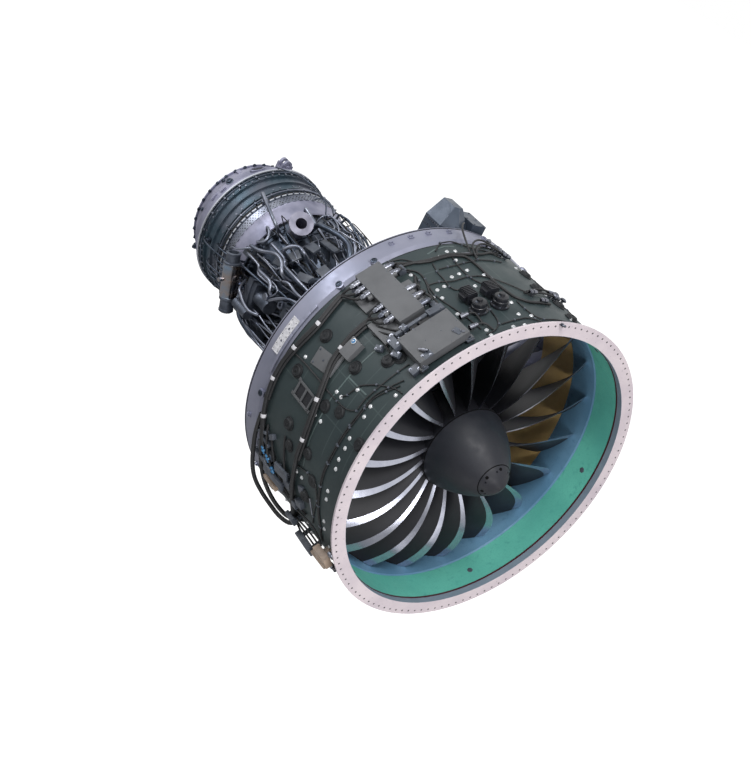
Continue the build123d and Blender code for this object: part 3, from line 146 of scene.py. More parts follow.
class Graph(Nodes):
    """A material whose nodes work in the engine's own coordinates."""

    def __init__(self, name, base, rough, metal=0, **sockets):
        self.material = bpy.data.materials.new(name)
        self.material.use_nodes = True
        super().__init__(self.material.node_tree)
        self.shader = self.tree.nodes["Principled BSDF"].inputs
        for key, value in {"Base_Color": base, "Roughness": rough, "Metallic": metal, **sockets}.items():
            self.feed(self.shader[key.replace("_", " ")], value)
        self.place = self.node("ShaderNodeTexCoord").outputs["Object"]

    def noise(self, scale, detail=3, place=None):
        inputs = {"Vector": place or self.place, "Scale": scale, "Detail": detail}
        return self.node("ShaderNodeTexNoise", inputs).outputs["Fac"]

    def cells(self, scale):
        return self.node("ShaderNodeTexVoronoi", {"Vector": self.place, "Scale": scale}).outputs["Distance"]

    def fibres(self, x, y, z):
        """Noise drawn out by a scale along each axis."""
        inputs = {"Vector": self.place, "Scale": (x, y, z)}
        return self.noise(1, 3, self.node("ShaderNodeMapping", inputs).outputs["Vector"])

    def round_place(self):
        """Radius, clock angle in turns and station as sockets."""
        x, y, z = self.node("ShaderNodeSeparateXYZ", {0: self.place}).outputs
        radius = self.sum("SQRT", self.plus(self.times(x, x), self.times(z, z)))
        return radius, self.sum("DIVIDE", self.sum("ARCTAN2", self.times(x, -1), z), 2 * math.pi), y

    def bump(self, height, strength, distance):
        inputs = {"Strength": strength, "Distance": distance, "Height": height}
        self.feed(self.shader["Normal"], self.node("ShaderNodeBump", inputs).outputs[0])

    def paint(self, value):
        self.feed(self.shader["Base Color"], value)

    def roughen(self, low, high, scale=14):
        self.feed(self.shader["Roughness"], self.ramp(self.noise(scale, 4), 0.3, 0.7, low, high))


def plain(name, base, dark, rough, metal=0, scale=9, grain=260, depth=0.0004, **sockets):
    """A surface whose colour drifts between two tones, with fine grain and uneven gloss."""
    graph = Graph(name, base, rough, metal, **sockets)
    graph.paint(graph.mix(graph.ramp(graph.noise(scale, 5), 0.35, 0.7), base, dark))
    graph.roughen(max(0.02, rough - 0.08), min(1.0, rough + 0.1))
    graph.bump(graph.noise(grain, 2), 0.25, depth)
    return graph.material


def brushed(name, base, dark, rough, metal=1):
    """Turned metal: fine rings round the engine axis and soft stains."""
    graph = Graph(name, base, rough, metal)
    rings = graph.fibres(6, 420, 6)
    tone = graph.mix(graph.ramp(graph.noise(7, 6), 0.38, 0.68), base, dark)
    graph.paint(graph.mix(graph.times(rings, 0.35), tone, dark))
    graph.roughen(max(0.05, rough - 0.1), rough + 0.14, 18)
    graph.bump(rings, 0.12, 0.0004)
    return graph.material


def flange_material():
    """Pale pinkish primer with a grey-blue inner face."""
    graph = Graph("pale_flange", (208, 198, 203), 0.5)
    radius, _, _ = graph.round_place()
    face = graph.mix(graph.ramp(graph.noise(5, 4), 0.35, 0.7), (214, 204, 209), (198, 188, 196))
    face = graph.mix(graph.ramp(graph.noise(60, 4), 0.62, 0.75), face, (176, 168, 176))
    inner = graph.mix(graph.noise(12, 3), (132, 148, 162), (108, 124, 138))
    graph.paint(graph.mix(graph.sum("LESS_THAN", radius, DUCT_RADIUS + 0.0012), face, inner))
    graph.roughen(0.42, 0.58)
    graph.bump(graph.noise(300), 0.15, 0.0003)
    return graph.material


def case_material():
    """Dark green-grey composite barrel with a faint panel grid outside, and inside a gold-brown wall painted
    lighter than its own colour, as painted light in the shaded duct.
    """
    graph = Graph("case_composite", (58, 70, 72), 0.5, Specular_IOR_Level=0.32)
    radius, turn, station = graph.round_place()
    outer = graph.mix(graph.ramp(graph.noise(2.6, 5), 0.3, 0.7), (42, 54, 57), (54, 66, 67))
    fibre = graph.fibres(40, 260, 40)
    outer = graph.mix(graph.times(fibre, 0.3), outer, (40, 50, 54))

    def lines(value, count, width):
        """Evenly spaced thin lines across a value."""
        middle = graph.sum("SUBTRACT", graph.sum("FRACT", graph.times(value, count)), 0.5)
        return graph.sum("LESS_THAN", graph.sum("ABSOLUTE", middle), width)

    grid = graph.sum("MAXIMUM", lines(station, 4.6, 0.018), lines(turn, 27, 0.016))
    patch = graph.times(graph.ramp(graph.noise(1.7, 1), 0.47, 0.52), 0.16)
    outer = graph.mix(graph.times(grid, patch), outer, (104, 120, 118))
    # Painted light: the gold is lighter than the wall's own gold-brown, standing in for light that reaches
    # into the shaded duct
    gold = graph.mix(graph.ramp(graph.noise(3.4, 5), 0.3, 0.7), (238, 206, 142), (208, 176, 116))
    gold = graph.mix(graph.ramp(graph.cells(95), 0.06, 0.1), (150, 122, 76), gold)
    graph.paint(graph.mix(graph.sum("LESS_THAN", radius, DUCT_RADIUS + 0.004), outer, gold))
    graph.roughen(0.42, 0.58, 6)
    graph.bump(fibre, 0.2, 0.0006)
    return graph.material


def liner_material(name, light, dark, hole, scale, threshold):
    """A drilled acoustic lining: rows of small holes on a soft colour, the holes painted darker as painted
    shade.
    """
    graph = Graph(name, light, 0.55)
    tone = graph.mix(graph.ramp(graph.noise(2.2, 4), 0.3, 0.7), light, dark)
    tone = graph.mix(graph.ramp(graph.noise(24, 5), 0.58, 0.72), tone, dark)
    # Painted shade: the dots of the holes take the darker hole colour; the same dots dent the bump
    dots = graph.ramp(graph.cells(scale), threshold, threshold + 0.08)
    graph.paint(graph.mix(dots, hole, tone))
    graph.roughen(0.48, 0.64)
    graph.bump(dots, 0.25, 0.0006)
    return graph.material


def blade_material():
    """Dark coated aerofoil with a bright metal sheath along its leading edge, a parabola of the span."""
    graph = Graph("blade_coating", (30, 31, 36), 0.46, Specular_IOR_Level=0.3)
    radius, _, station = graph.round_place()
    span = graph.sum("DIVIDE", graph.sum("SUBTRACT", radius, HUB_RADIUS), BLADE_SPAN)
    lead = graph.plus(graph.times(span, -0.281), graph.times(graph.times(span, span), 0.342))
    behind = graph.sum("SUBTRACT", station, graph.plus(lead, 0.287))
    sheath = graph.sum("LESS_THAN", behind, graph.plus(graph.times(span, 0.007), 0.016))
    sheath = graph.times(sheath, graph.sum("GREATER_THAN", radius, HUB_RADIUS + 0.002))
    dark = graph.mix(graph.ramp(graph.noise(5, 4), 0.3, 0.7), (24, 25, 30), (36, 37, 43))
    dark = graph.mix(graph.times(graph.fibres(30, 8, 30), 0.4), dark, (20, 21, 25))
    bright = graph.mix(graph.noise(16, 4), (196, 198, 210), (158, 162, 178))
    graph.paint(graph.mix(sheath, dark, bright))
    graph.feed(graph.shader["Metallic"], graph.times(sheath, 0.92))
    graph.feed(graph.shader["Roughness"], graph.ramp(sheath, 0, 1, 0.46, 0.24))
    graph.bump(graph.noise(180), 0.12, 0.0003)
    return graph.material


def tank_material():
    """Polished metal with a bluish and tan heat tint."""
    graph = Graph("polished_canister", (170, 172, 184), 0.16, 1)
    graph.paint(graph.mix(graph.ramp(graph.noise(9, 2), 0.35, 0.7), (150, 166, 184), (186, 158, 132)))
    graph.roughen(0.1, 0.24, 30)
    graph.bump(graph.noise(90), 0.1, 0.0004)
    return graph.material


def turbine_material():
    """Teal-dark heat-stained shell, with its rails painted pale as a painted highlight."""
    graph = Graph("turbine_shell", (70, 88, 100), 0.36, 0.6)
    rings = graph.fibres(5, 300, 5)
    tone = graph.mix(graph.ramp(graph.noise(4.5, 6), 0.36, 0.66), (68, 88, 100), (102, 106, 118))
    tone = graph.mix(graph.times(rings, 0.3), tone, (50, 60, 72))
    radius, _, station = graph.round_place()
    # Painted highlight: the rails, where the shell stands proud of a cone, are painted pale
    rail_highlight = graph.sum("GREATER_THAN", radius, graph.plus(graph.times(station, 0.09), 0.2566))
    graph.paint(graph.mix(rail_highlight, tone, (198, 202, 210)))
    graph.roughen(0.3, 0.5, 18)
    graph.bump(rings, 0.15, 0.0004)
    return graph.material


dark_steel = brushed("dark_steel", (92, 100, 114), (44, 52, 62), 0.36, 0.9)
bright_steel = brushed("bright_steel", (142, 144, 152), (88, 92, 102), 0.32)
lilac_metal = brushed("lilac_metal", (166, 166, 186), (126, 128, 148), 0.48, 0.6)
cast_metal = plain("cast_metal", (104, 110, 122), (62, 68, 78), 0.44, 0.8, scale=14)
gear_metal = brushed("gear_metal", (150, 152, 158), (96, 98, 106), 0.28)
silver_paint = plain("silver_paint", (146, 148, 166), (124, 128, 146), 0.36, 0.45, scale=3)
spinner_paint = plain("spinner_paint", (36, 38, 45), (30, 31, 38), 0.5, scale=3, grain=420, depth=0.0002,
                      Specular_IOR_Level=0.35)
box_paint = plain("box_paint", (96, 98, 101), (84, 86, 89), 0.5, scale=4)
black_rubber = plain("black_rubber", (30, 31, 34), (20, 21, 23), 0.55, scale=30, grain=500)
pad_rubber = plain("pad_rubber", (32, 35, 38), (22, 24, 27), 0.55, scale=22, Specular_IOR_Level=0.3)
valve_black = plain("valve_black", (38, 40, 46), (24, 25, 30), 0.3, scale=18)
tie_white = plain("tie_white", (222, 222, 226), (190, 190, 196), 0.5, scale=60)
bolt_white = plain("bolt_white", (226, 228, 230), (186, 190, 194), 0.32, 0.3, scale=80)
pipe_metal = brushed("pipe_metal", (150, 154, 166), (98, 104, 118), 0.34)
port_metal = plain("port_metal", (138, 138, 154), (116, 116, 132), 0.5, 0.3, scale=14)
tan_block = plain("tan_block", (176, 156, 138), (146, 128, 112), 0.5, scale=20)
grey_block = plain("grey_block", (84, 90, 100), (62, 68, 78), 0.45, scale=20)
fairing_paint = plain("fairing_paint", (74, 84, 98), (56, 66, 80), 0.36, 0.3, scale=8)
seal_dark = plain("seal_dark", (74, 26, 32), (50, 18, 24), 0.45, scale=40)
# Near-black for dark joints, also used as painted shade in the nose screws' recesses
joint_and_recess_shade = plain("joint_and_recess_shade", (9, 9, 11), (6, 6, 7), 0.85, scale=40, Specular_IOR_Level=0.12)
shadow_hole = plain("shadow_hole", (24, 25, 28), (16, 17, 19), 0.6, scale=40)
sensor_blue = plain("sensor_blue", (70, 140, 190), (50, 110, 160), 0.3, scale=50)

node_looks = (
    (flange_material(), "inlet_flange"), (case_material(), "fan_case"), (tank_material(), "oil_tank"),
    (liner_material("green_lining", (104, 196, 176), (84, 170, 156), (62, 134, 122), 160, 0.16),
     "acoustic_liner"),
    (liner_material("blue_strip", (106, 150, 180), (84, 128, 160), (72, 108, 138), 70, 0.1), "rub_strip"),
    (silver_paint, "rear_fan_case guide_vanes"), (spinner_paint, "spinner nose_cap"),
    (port_metal, "bleed_duct"), (pipe_metal, "core_pipes"),
    (cast_metal, "front_frame intermediate_case booster_case accessory_gearbox"),
    (dark_steel, "compressor_case diffuser_case"), (turbine_material(), "turbine_case"),
    (lilac_metal, "exhaust_case combustor_liner"), (box_paint, "control_unit sensor_unit"),
    (black_rubber, "case_harness"), (pad_rubber, "case_pads"), (valve_black, "case_valves"),
    (fairing_paint, "top_fairing"),
)
look_of = {name: look for look, names in node_looks for name in names.split()}
blade_coating = blade_material()
for name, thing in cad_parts.items():
    for holder in thing.material_slots:
        holder.material = blade_coating if name.startswith("fan_blade") else look_of.get(name, gear_metal)


# Mesh helpers: each adds to the mesh in work, and piece() makes a piece of it
class Work:
    mesh = bmesh.new()


def turned(place, profile, segments=20):
    """A form turned about local z from pairs of radius and height, closed where the radius is 0."""
    rows = []
    for radius, height in profile:
        turns = [2 * math.pi * step / segments for step in range(segments if radius else 1)]
        points = [Vector((radius * math.cos(turn), radius * math.sin(turn), height)) for turn in turns]
        rows.append([Work.mesh.verts.new(place @ point) for point in points])
    for low, high in zip(rows, rows[1:]):
        for step in range(segments):
            after = (step + 1) % segments
            corners = [row[turn % len(row)] for row, turn in
                       ((low, step), (low, after), (high, after), (high, step))]
            unique = list(dict.fromkeys(corners))
            if len(unique) > 2:
                Work.mesh.faces.new(unique)


def block(place, size, bevel=0):
    """A block with rounded edges that stands on its frame."""
    verts = bmesh.ops.create_cube(Work.mesh, size=1)["verts"]
    for vert in verts:
        vert.co = Vector((vert.co.x * size[0], vert.co.y * size[1], vert.co.z * size[2] + size[2] / 2))
    if bevel:
        edges = list({edge for vert in verts for edge in vert.link_edges})
        made = bmesh.ops.bevel(Work.mesh, geom=edges, offset=bevel, segments=2, profile=0.7, affect="EDGES")
        kept = {vert for vert in verts if vert.is_valid}
        verts = list({vert for face in made["faces"] for vert in face.verts} | kept)
    for vert in verts:
        vert.co = place @ vert.co


def bolt(place, radius=0.009, washer=True):
    """A hexagon bolt head on a washer."""
    if washer:
        turned(place, [(0, 0), (radius * 1.55, 0), (radius * 1.55, radius * 0.25), (0, radius * 0.25)], 16)
    turned(place, [(radius, radius * 0.2), (radius, radius * 0.85), (radius * 0.82, radius), (0, radius)], 6)


def dome(place, radius, height):
    """A low round rivet head."""
    turned(place, [(radius, -0.001), (radius, height * 0.35), (radius * 0.78, height * 0.85),
                   (radius * 0.4, height), (0, height)], 14)


def rod(start, end, radius):
    length = (end - start).length
    turned(along(start, end), [(radius, 0), (radius, length), (0, length)], 12)


def put(name, data, material, body):
    """Places mesh or curve data as a piece that rides on a body."""
    data.materials.append(material)
    made = bpy.data.objects.new(name, data)
    bpy.context.scene.collection.objects.link(made)
    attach(made, body)
    return made


def piece(name, material, body=STATIC):
    mesh, Work.mesh = Work.mesh, bmesh.new()
    data = bpy.data.meshes.new(name)
    bmesh.ops.recalc_face_normals(mesh, faces=mesh.faces)
    mesh.to_mesh(data)
    mesh.free()
    data.polygons.foreach_set("use_smooth", [True] * len(data.polygons))
    data.set_sharp_from_angle(angle=SMOOTH_ANGLE)
    return put(name, data, material, body)


def lathe(name, profile, material, body=STATIC, segments=200):
    """A ring turned about the engine axis from a closed outline of radius and station."""
    turned(rotation(-90, "X"), [*profile, profile[0]], segments)
    bmesh.ops.remove_doubles(Work.mesh, verts=Work.mesh.verts, dist=1e-7)
    piece(name, material, body)


def band(name, inner, outer, front, back, material):
    lathe(name, [(inner, front), (outer, front), (outer, back), (inner, back)], material)


def cables(name, routes, radius, material, round_steps=3):
    """Smooth tubes through points; a plain point is a radius, a clock angle and a station."""
    data = bpy.data.curves.new(name, "CURVE")
    data.dimensions = "3D"
    data.bevel_depth = radius
    data.bevel_resolution = round_steps
    data.resolution_u = 6
    data.use_fill_caps = True
    for points in routes:
        spline = data.splines.new("NURBS")
        spline.points.add(len(points) - 1)
        for knot, point in zip(spline.points, points):
            knot.co = (*(point if isinstance(point, Vector) else at(*point)), 1)
        spline.order_u = 3
        spline.use_endpoint_u = True
    put(name, data, material, STATIC)


# Fan case details
def case_points(pairs, lift):
    """Points over the case from pairs of clock angle and station."""
    return [at(CASE_RADIUS + lift, *pair) for pair in pairs]


white_bolts = [
    (16.7, 0.915), (13.5, 0.909), (21.3, 0.876), (24.3, 0.871), (16.8, 0.812), (16.7, 0.689), (20.6, 0.669),
    (23.9, 0.657), (34.7, 0.8), (35.9, 0.697), (31.8, 0.589), (28.9, 0.596), (24.4, 0.522), (19.6, 0.522),
    (34.9, 0.543), (32.7, 0.509), (37.1, 0.5), (33, 0.334), (12.3, 0.621), (13.2, 0.38), (13.2, 0.305),
    (15.1, 0.18), (11, 0.151), (21.1, 0.077), (16.9, 0.07), (29.7, 0.12), (29.9, 0.067), (78.8, 0.842),
    (78.7, 0.465), (78.8, 0.413), (73.2, 0.345), (65.6, 0.098), (73.7, 0.185), (77.4, 0.175), (85.8, 0.176),
    (89.4, 0.168), (93.9, 0.174), (97.3, 0.166), (106.3, 0.173), (109.6, 0.17), (119.3, 0.175),
    (122.9, 0.175), (89.8, 0.519), (89.8, 0.452), (112.6, 0.523), (112.6, 0.458),
]
dice = random.Random(7)
for clock in range(132, 358, 11):
    for station in (0.175, 0.46, 0.82):
        white_bolts.append((clock + dice.uniform(-3, 3), station + dice.uniform(-0.03, 0.03)))
for clock, station in white_bolts:
    place = on_case(clock, station, spin=dice.uniform(0, 60))
    dome(place, 0.0135, 0.007)
    bolt(place @ shift(0, 0, 0.005), 0.006, False)
piece("case_bolts", bolt_white)

# Rubber pads get a raised rim, a dished face and a centre screw
pads = [
    (69, 0.814), (84, 0.832), (69, 0.468), (60, 0.325), (100, 0.7), (118, 0.83), (118, 0.4), (140, 0.62),
    (350, 0.193), (348, 0.362), (352, 0.523), (348, 0.722), (330, 0.3), (326, 0.64), (300, 0.44),
    (296, 0.8), (262, 0.3), (258, 0.64), (226, 0.44), (222, 0.82), (190, 0.26), (186, 0.7), (160, 0.3),
    (158, 0.86),
]
for clock, station in pads:
    turned(on_case(clock, station), [
        (0.046, 0), (0.046, 0.005), (0.043, 0.008), (0.0395, 0.0065), (0.037, 0.008), (0.0345, 0.02),
        (0.031, 0.0235), (0.026, 0.0235), (0.023, 0.0205), (0.012, 0.02), (0.01, 0.0225), (0, 0.0225),
    ], 32)
pad_rims = piece("pad_rims", pad_rubber)
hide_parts("case_pads")
for clock, station in pads:
    bolt(seat(CASE_RADIUS + 0.0215, clock, station), 0.006)
piece("pad_screws", pad_rubber)

# Lower caps of the same kind stand between the pads on the photographed side
for clock, station in (
    (82.4, 0.353), (84.8, 0.086), (84.9, 0.478), (106.7, 0.644), (102.3, 0.448), (109.2, 0.341),
    (56.6, 0.283),
):
    turned(on_case(clock, station), [
        (0.043, 0), (0.043, 0.004), (0.036, 0.006), (0.034, 0.012), (0.03, 0.015), (0.012, 0.014),
        (0.01, 0.016), (0, 0.016),
    ], 32)
piece("side_caps", pad_rubber)

# Painted shade in the front flange's bolt holes: a dark disc sunk in each one and a dark rim round its mouth
for step in range(120):
    spot = at(BOLT_RING, 1.5 + 3 * step, 0.0015)
    place = along(spot, spot + Vector((0, -1, 0)))
    turned(place, [(0.0049, -0.004), (0.0049, 0), (0, 0)], 12)
    turned(place, [(0.0048, 0.0012), (0.0052, 0.0018), (0.0064, 0.0018), (0.0066, 0.0014)], 12)
piece("hole_shadows", shadow_hole)

# Seams inside the intake
band("liner_seal", 1.0325, 1.0353, 0.044, 0.056, seal_dark)
band("flange_gasket", 1.0825, 1.085, 0.0142, 0.0185, grey_block)
for clock, station in ((210.7, 0.156), (269.2, 0.146), (30, 0.15), (90, 0.15), (150, 0.15), (330, 0.15)):
    turned(seat(1.0352, clock, station) @ rotation(180, "X"), [
        (0.02, 0), (0.02, 0.002), (0.017, 0.003), (0.007, 0.003), (0.006, 0.0015), (0, 0.0015),
    ], 6)
piece("liner_patches", grey_block)

# Spinner: the joint of the nose cap, the dark line at its foot and recessed screws painted near-black as
# painted shade in their recesses
lathe("spinner_seam", [
    (0.1184, -0.059), (0.1193, -0.0602), (0.1235, -0.0555), (0.1226, -0.0545),
], joint_and_recess_shade, FAN)
lathe("spinner_foot", [
    (0.3015, 0.278), (0.3032, 0.278), (0.305, 0.2845), (0.303, 0.2845),
], joint_and_recess_shade, FAN)
for step in range(6):
    clock = 12 + 60 * step
    centre = at(0.1035, clock, -0.0779)
    turned(along(centre, centre + at(0.73, clock, -0.684)), [
        (0.011, -0.001), (0.011, 0.0006), (0.0085, 0.0012), (0.005, 0.0004), (0, 0.0004),
    ], 16)
piece("nose_screws", joint_and_recess_shade, FAN)

# The latch and its hook on the front flange
hook = seat(FLANGE_RADIUS - 0.012, 5.4, -0.004)
block(hook @ shift(0.004, 0, -0.004), (0.034, 0.034, 0.006), 0.002)
block(hook @ shift(-0.004, 0.004, 0), (0.012, 0.014, 0.012), 0.003)
turned(hook @ shift(-0.012, 0, 0) @ rotation(-70, "Y"), [
    (0.008, 0), (0.008, 0.02), (0.005, 0.024), (0, 0.024),
], 14)
piece("flange_latch", bright_steel)

# Silver rear ring: painted shade lines at its back edge and at its step from the barrel, clips, lug eyes and
# the white perforated bracket
# Painted shade: dark bands at the ring's back edge and at its step from the barrel
band("rear_edge_shade", 1.0835, 1.0958, 1.1685, 1.1715, shadow_hole)
band("case_step_shade", 1.0822, 1.0832, 0.9985, 1.0035, shadow_hole)
for clock in [31.7, 24.1, 17.2, 8.5] + list(range(112, 356, 24)):
    place = seat(REAR_RADIUS, clock, 1.121)
    block(place, (0.03, 0.034, 0.006), 0.002)
    block(place @ shift(0.004, 0, 0.005), (0.014, 0.026, 0.012), 0.003)
    bolt(place @ shift(-0.008, 0.01, 0.005), 0.0045)
    bolt(place @ shift(-0.008, -0.01, 0.005), 0.0045)
piece("rear_clips", silver_paint)
for clock in (-120, -75, -30, 41, 54.7, 100, 145, 190):
    place = seat(REAR_RADIUS + 0.014, clock, 1.034)
    turned(place, [
        (0.021, -0.004), (0.022, 0.003), (0.018, 0.006), (0.011, 0.006), (0.01, -0.002), (0, -0.002),
    ], 24)
    bolt(place @ shift(0, 0, -0.002), 0.006)
piece("lug_eyes", dark_steel)

steps, bracket_start, bracket_sweep = 14, 72.2, 13
for row in range(steps):
    clock = bracket_start + bracket_sweep * (row + 0.5) / steps
    for column, station in enumerate((1.057, 1.079, 1.101)):
        if column == 1 and row in (4, 9):
            continue
        block(seat(REAR_RADIUS + 0.004, clock, station), (0.019, 0.0145, 0.0025), 0.0006)
for clock in (bracket_start, bracket_start + bracket_sweep):
    block(seat(REAR_RADIUS, clock, 1.079), (0.066, 0.006, 0.009), 0.001)
for station in (1.0465, 1.068, 1.09, 1.1115):
    for row in range(steps * 2):
        block(
            seat(REAR_RADIUS + 0.0035, bracket_start + bracket_sweep * (row + 0.5) / steps / 2, station),
            (0.004, 0.0102, 0.0025),
        )
for row in range(steps + 1):
    for station in (1.057, 1.079, 1.101):
        block(
            seat(REAR_RADIUS + 0.0036, bracket_start + bracket_sweep * row / steps, station),
            (0.022, 0.004, 0.0022),
        )
piece("perforated_bracket", tie_white)
# Painted shade: dark discs on the bracket where its holes are
for row in range(7):
    for station in (1.057, 1.101):
        turned(
            seat(REAR_RADIUS + 0.0064, 73.4 + 1.85 * row, station),
            [(0.0035, 0), (0.0035, 0.0004), (0, 0.0004)], 10,
        )
piece("bracket_hole_shade", shadow_hole)
for clock in range(66, 93, 3):
    block(seat(REAR_RADIUS - 0.001, clock, 1.03), (0.024, 0.058, 0.01), 0.003)
piece("harness_tray", silver_paint)

# Small box with a round sensor, its mounting plate and the bracket with two square windows
block(on_case(65.8, 0.572), (0.098, 0.13, 0.04), 0.004)
block(on_case(75, 0.7, spin=8), (0.17, 0.12, 0.006), 0.002)
block(on_case(72, 0.61, spin=4), (0.07, 0.2, 0.012), 0.002)
piece("small_box", box_paint)
for across, lengthwise in ((-0.075, -0.045), (-0.075, 0.045), (0.07, -0.045), (0.07, 0.045), (0, 0)):
    bolt(seat(CASE_RADIUS + 0.006, 75, 0.7, spin=8) @ shift(across, lengthwise, 0), 0.005)
piece("plate_bolts", grey_block)
dial = seat(CASE_RADIUS + 0.04, 63.6, 0.585)
turned(dial, [(0.017, 0), (0.017, 0.004), (0.014, 0.007), (0.006, 0.007), (0, 0.009)], 24)
piece("round_sensor", sensor_blue)
turned(dial @ shift(0, 0, 0.004), [(0.0185, 0), (0.0185, 0.003), (0.0155, 0.0035)], 24)
turned(dial @ shift(0, 0, 0.009), [(0.004, -0.002), (0.004, 0.004), (0, 0.004)], 10)
piece("sensor_collar", bolt_white)

frame_place = seat(CASE_RADIUS + 0.004, 88, 0.675, spin=-2)
for lengthwise in (-0.083, 0, 0.083):
    block(frame_place @ shift(lengthwise, 0, 0), (0.014, 0.105, 0.01), 0.002)
for across in (-0.05, 0.05):
    block(frame_place @ shift(0, across, 0), (0.18, 0.014, 0.01), 0.002)
for lengthwise, across in ((-0.098, 0.05), (0.098, 0.05), (-0.098, -0.05), (0.098, -0.05)):
    block(frame_place @ shift(lengthwise, across, -0.004), (0.022, 0.022, 0.008), 0.002)
piece("window_frame", box_paint)
for lengthwise in (-0.0415, 0.0415):
    block(frame_place @ shift(lengthwise, 0, -0.002), (0.069, 0.086, 0.004), 0.001)
piece("frame_windows", valve_black)

# Raised ribs under the skin: the lighter lines of the barrel
for pairs in (
    [
        (58.1, 0.451), (62, 0.455), (66, 0.459), (70, 0.461), (74, 0.463), (78, 0.466), (82, 0.472),
        (86, 0.472), (90, 0.471), (94, 0.473), (98, 0.475), (103, 0.47), (108, 0.463),
    ],
    [(72.6, 0.462), (72.5, 0.4), (72.4, 0.34), (72.2, 0.266)],
    [(24, 0.93), (20, 0.96), (16, 0.972), (12, 0.965)],
):
    for first, second in zip(pairs, pairs[1:]):
        start, end = at(CASE_RADIUS + 0.0004, *first), at(CASE_RADIUS + 0.0004, *second)
        middle = (start + end) / 2
        run = end - start
        out = Vector((middle.x, 0, middle.z)).normalized()
        side = out.cross(run.normalized())
        place = Matrix((run.normalized(), side, out)).transposed().to_4x4()
        place.translation = middle
        block(place, (run.length, 0.01, 0.0012))
piece("case_ribs", plain("rib_paint", (86, 102, 102), (74, 88, 88), 0.5, scale=10))

# Thin wires over the case
thin_routes = [
    [(20.7, 0.935), (16.2, 1.012), (11, 1.02), (8.2, 0.976), (4.9, 0.93), (-0.9, 0.924), (-6.5, 0.876)],
    [(32, 0.777), (32.3, 0.712), (33.3, 0.638), (34, 0.545), (33.1, 0.432), (31.8, 0.317), (31, 0.14)],
    [
        (33.1, 0.657), (29.2, 0.646), (25, 0.612), (19.2, 0.621), (14.4, 0.611), (11, 0.576), (6.3, 0.5),
        (2.2, 0.419),
    ],
    [(25.5, 0.826), (26.9, 0.741), (27, 0.653), (27.8, 0.573), (26.8, 0.518), (24.1, 0.523)],
    [(16.5, 0.881), (18, 0.796), (18.6, 0.693), (18.4, 0.601), (17.6, 0.553), (15.5, 0.499)],
    [(10.7, 0.31), (10.9, 0.224), (10.2, 0.137), (7.9, 0.1), (2.6, 0.106), (-2.4, 0.096), (-9, 0.09)],
    [(20.9, 0.368), (23, 0.269), (23.5, 0.189), (24.7, 0.129), (27.6, 0.088), (31, 0.085)],
    [(23.9, 0.123), (18.8, 0.128), (14.1, 0.133), (11.3, 0.111), (8.7, 0.05), (2.5, 0.048)],
    [(8.6, 0.798), (3.8, 0.916), (-0.9, 0.985), (-6.5, 0.99), (-12.7, 0.97)],
    [(25.4, 0.757), (18.9, 0.755), (12, 0.775), (8.5, 0.795), (4.6, 0.792), (-3, 0.8)],
    [(80.7, 0.567), (80.6, 0.418), (80.2, 0.312), (77.9, 0.246), (74.1, 0.249), (64.2, 0.221), (56, 0.2)],
    [(78.7, 0.408), (76.7, 0.378), (71.6, 0.346), (67.6, 0.254), (64, 0.133), (63.7, 0.07)],
    [
        (62.6, 0.124), (71.2, 0.204), (79.7, 0.208), (86.7, 0.22), (94.6, 0.229), (101.8, 0.246),
        (107.4, 0.244), (115.3, 0.236), (124.1, 0.217), (132.4, 0.237),
    ],
    [
        (60.6, 0.134), (70.5, 0.214), (79, 0.22), (86.4, 0.232), (94.4, 0.242), (101.5, 0.258),
        (107.4, 0.256), (115.3, 0.248), (124.1, 0.229), (132.4, 0.25),
    ],
    [(110, 0.532), (108.1, 0.402), (108.4, 0.297), (113.8, 0.257), (127.6, 0.328)],
    [(41.5, 0.95), (37, 0.985), (33, 0.96), (29.1, 0.864)],
    [(40, 0.83), (36, 0.86), (33.6, 0.8), (34.2, 0.72), (36.5, 0.66), (39.6, 0.684)],
]
for number in range(9):
    clock = 150 + 22 * number
    level = 0.36 + dice.uniform(-0.08, 0.08)
    thin_routes.append([
        (clock, 0.1), (clock, level - 0.03), (clock + 1, level), (clock + 9, level),
        (clock + 10, level + 0.03), (clock + 10, 0.8), (clock + 8, 0.84), (clock + 8, 0.97),
    ])


def dense(pairs, step=3):
    """Adds points so that a run follows the barrel."""
    full = [pairs[0]]
    for first, second in zip(pairs, pairs[1:]):
        count = max(1, math.ceil(abs(second[0] - first[0]) / step))
        for index in range(1, count + 1):
            share = index / count
            full.append(tuple(a + (b - a) * share for a, b in zip(first, second)))
    return full


cables("thin_wires", [case_points(dense(route), 0.0055) for route in thin_routes], 0.0042, black_rubber, 2)
for route in thin_routes:
    for clock, station in dense(route, 6)[1:-1:2]:
        block(
            seat(CASE_RADIUS - 0.0005, clock, station, spin=dice.uniform(0, 90)), (0.013, 0.012, 0.013),
            0.002,
        )
piece("wire_clamps", grey_block)

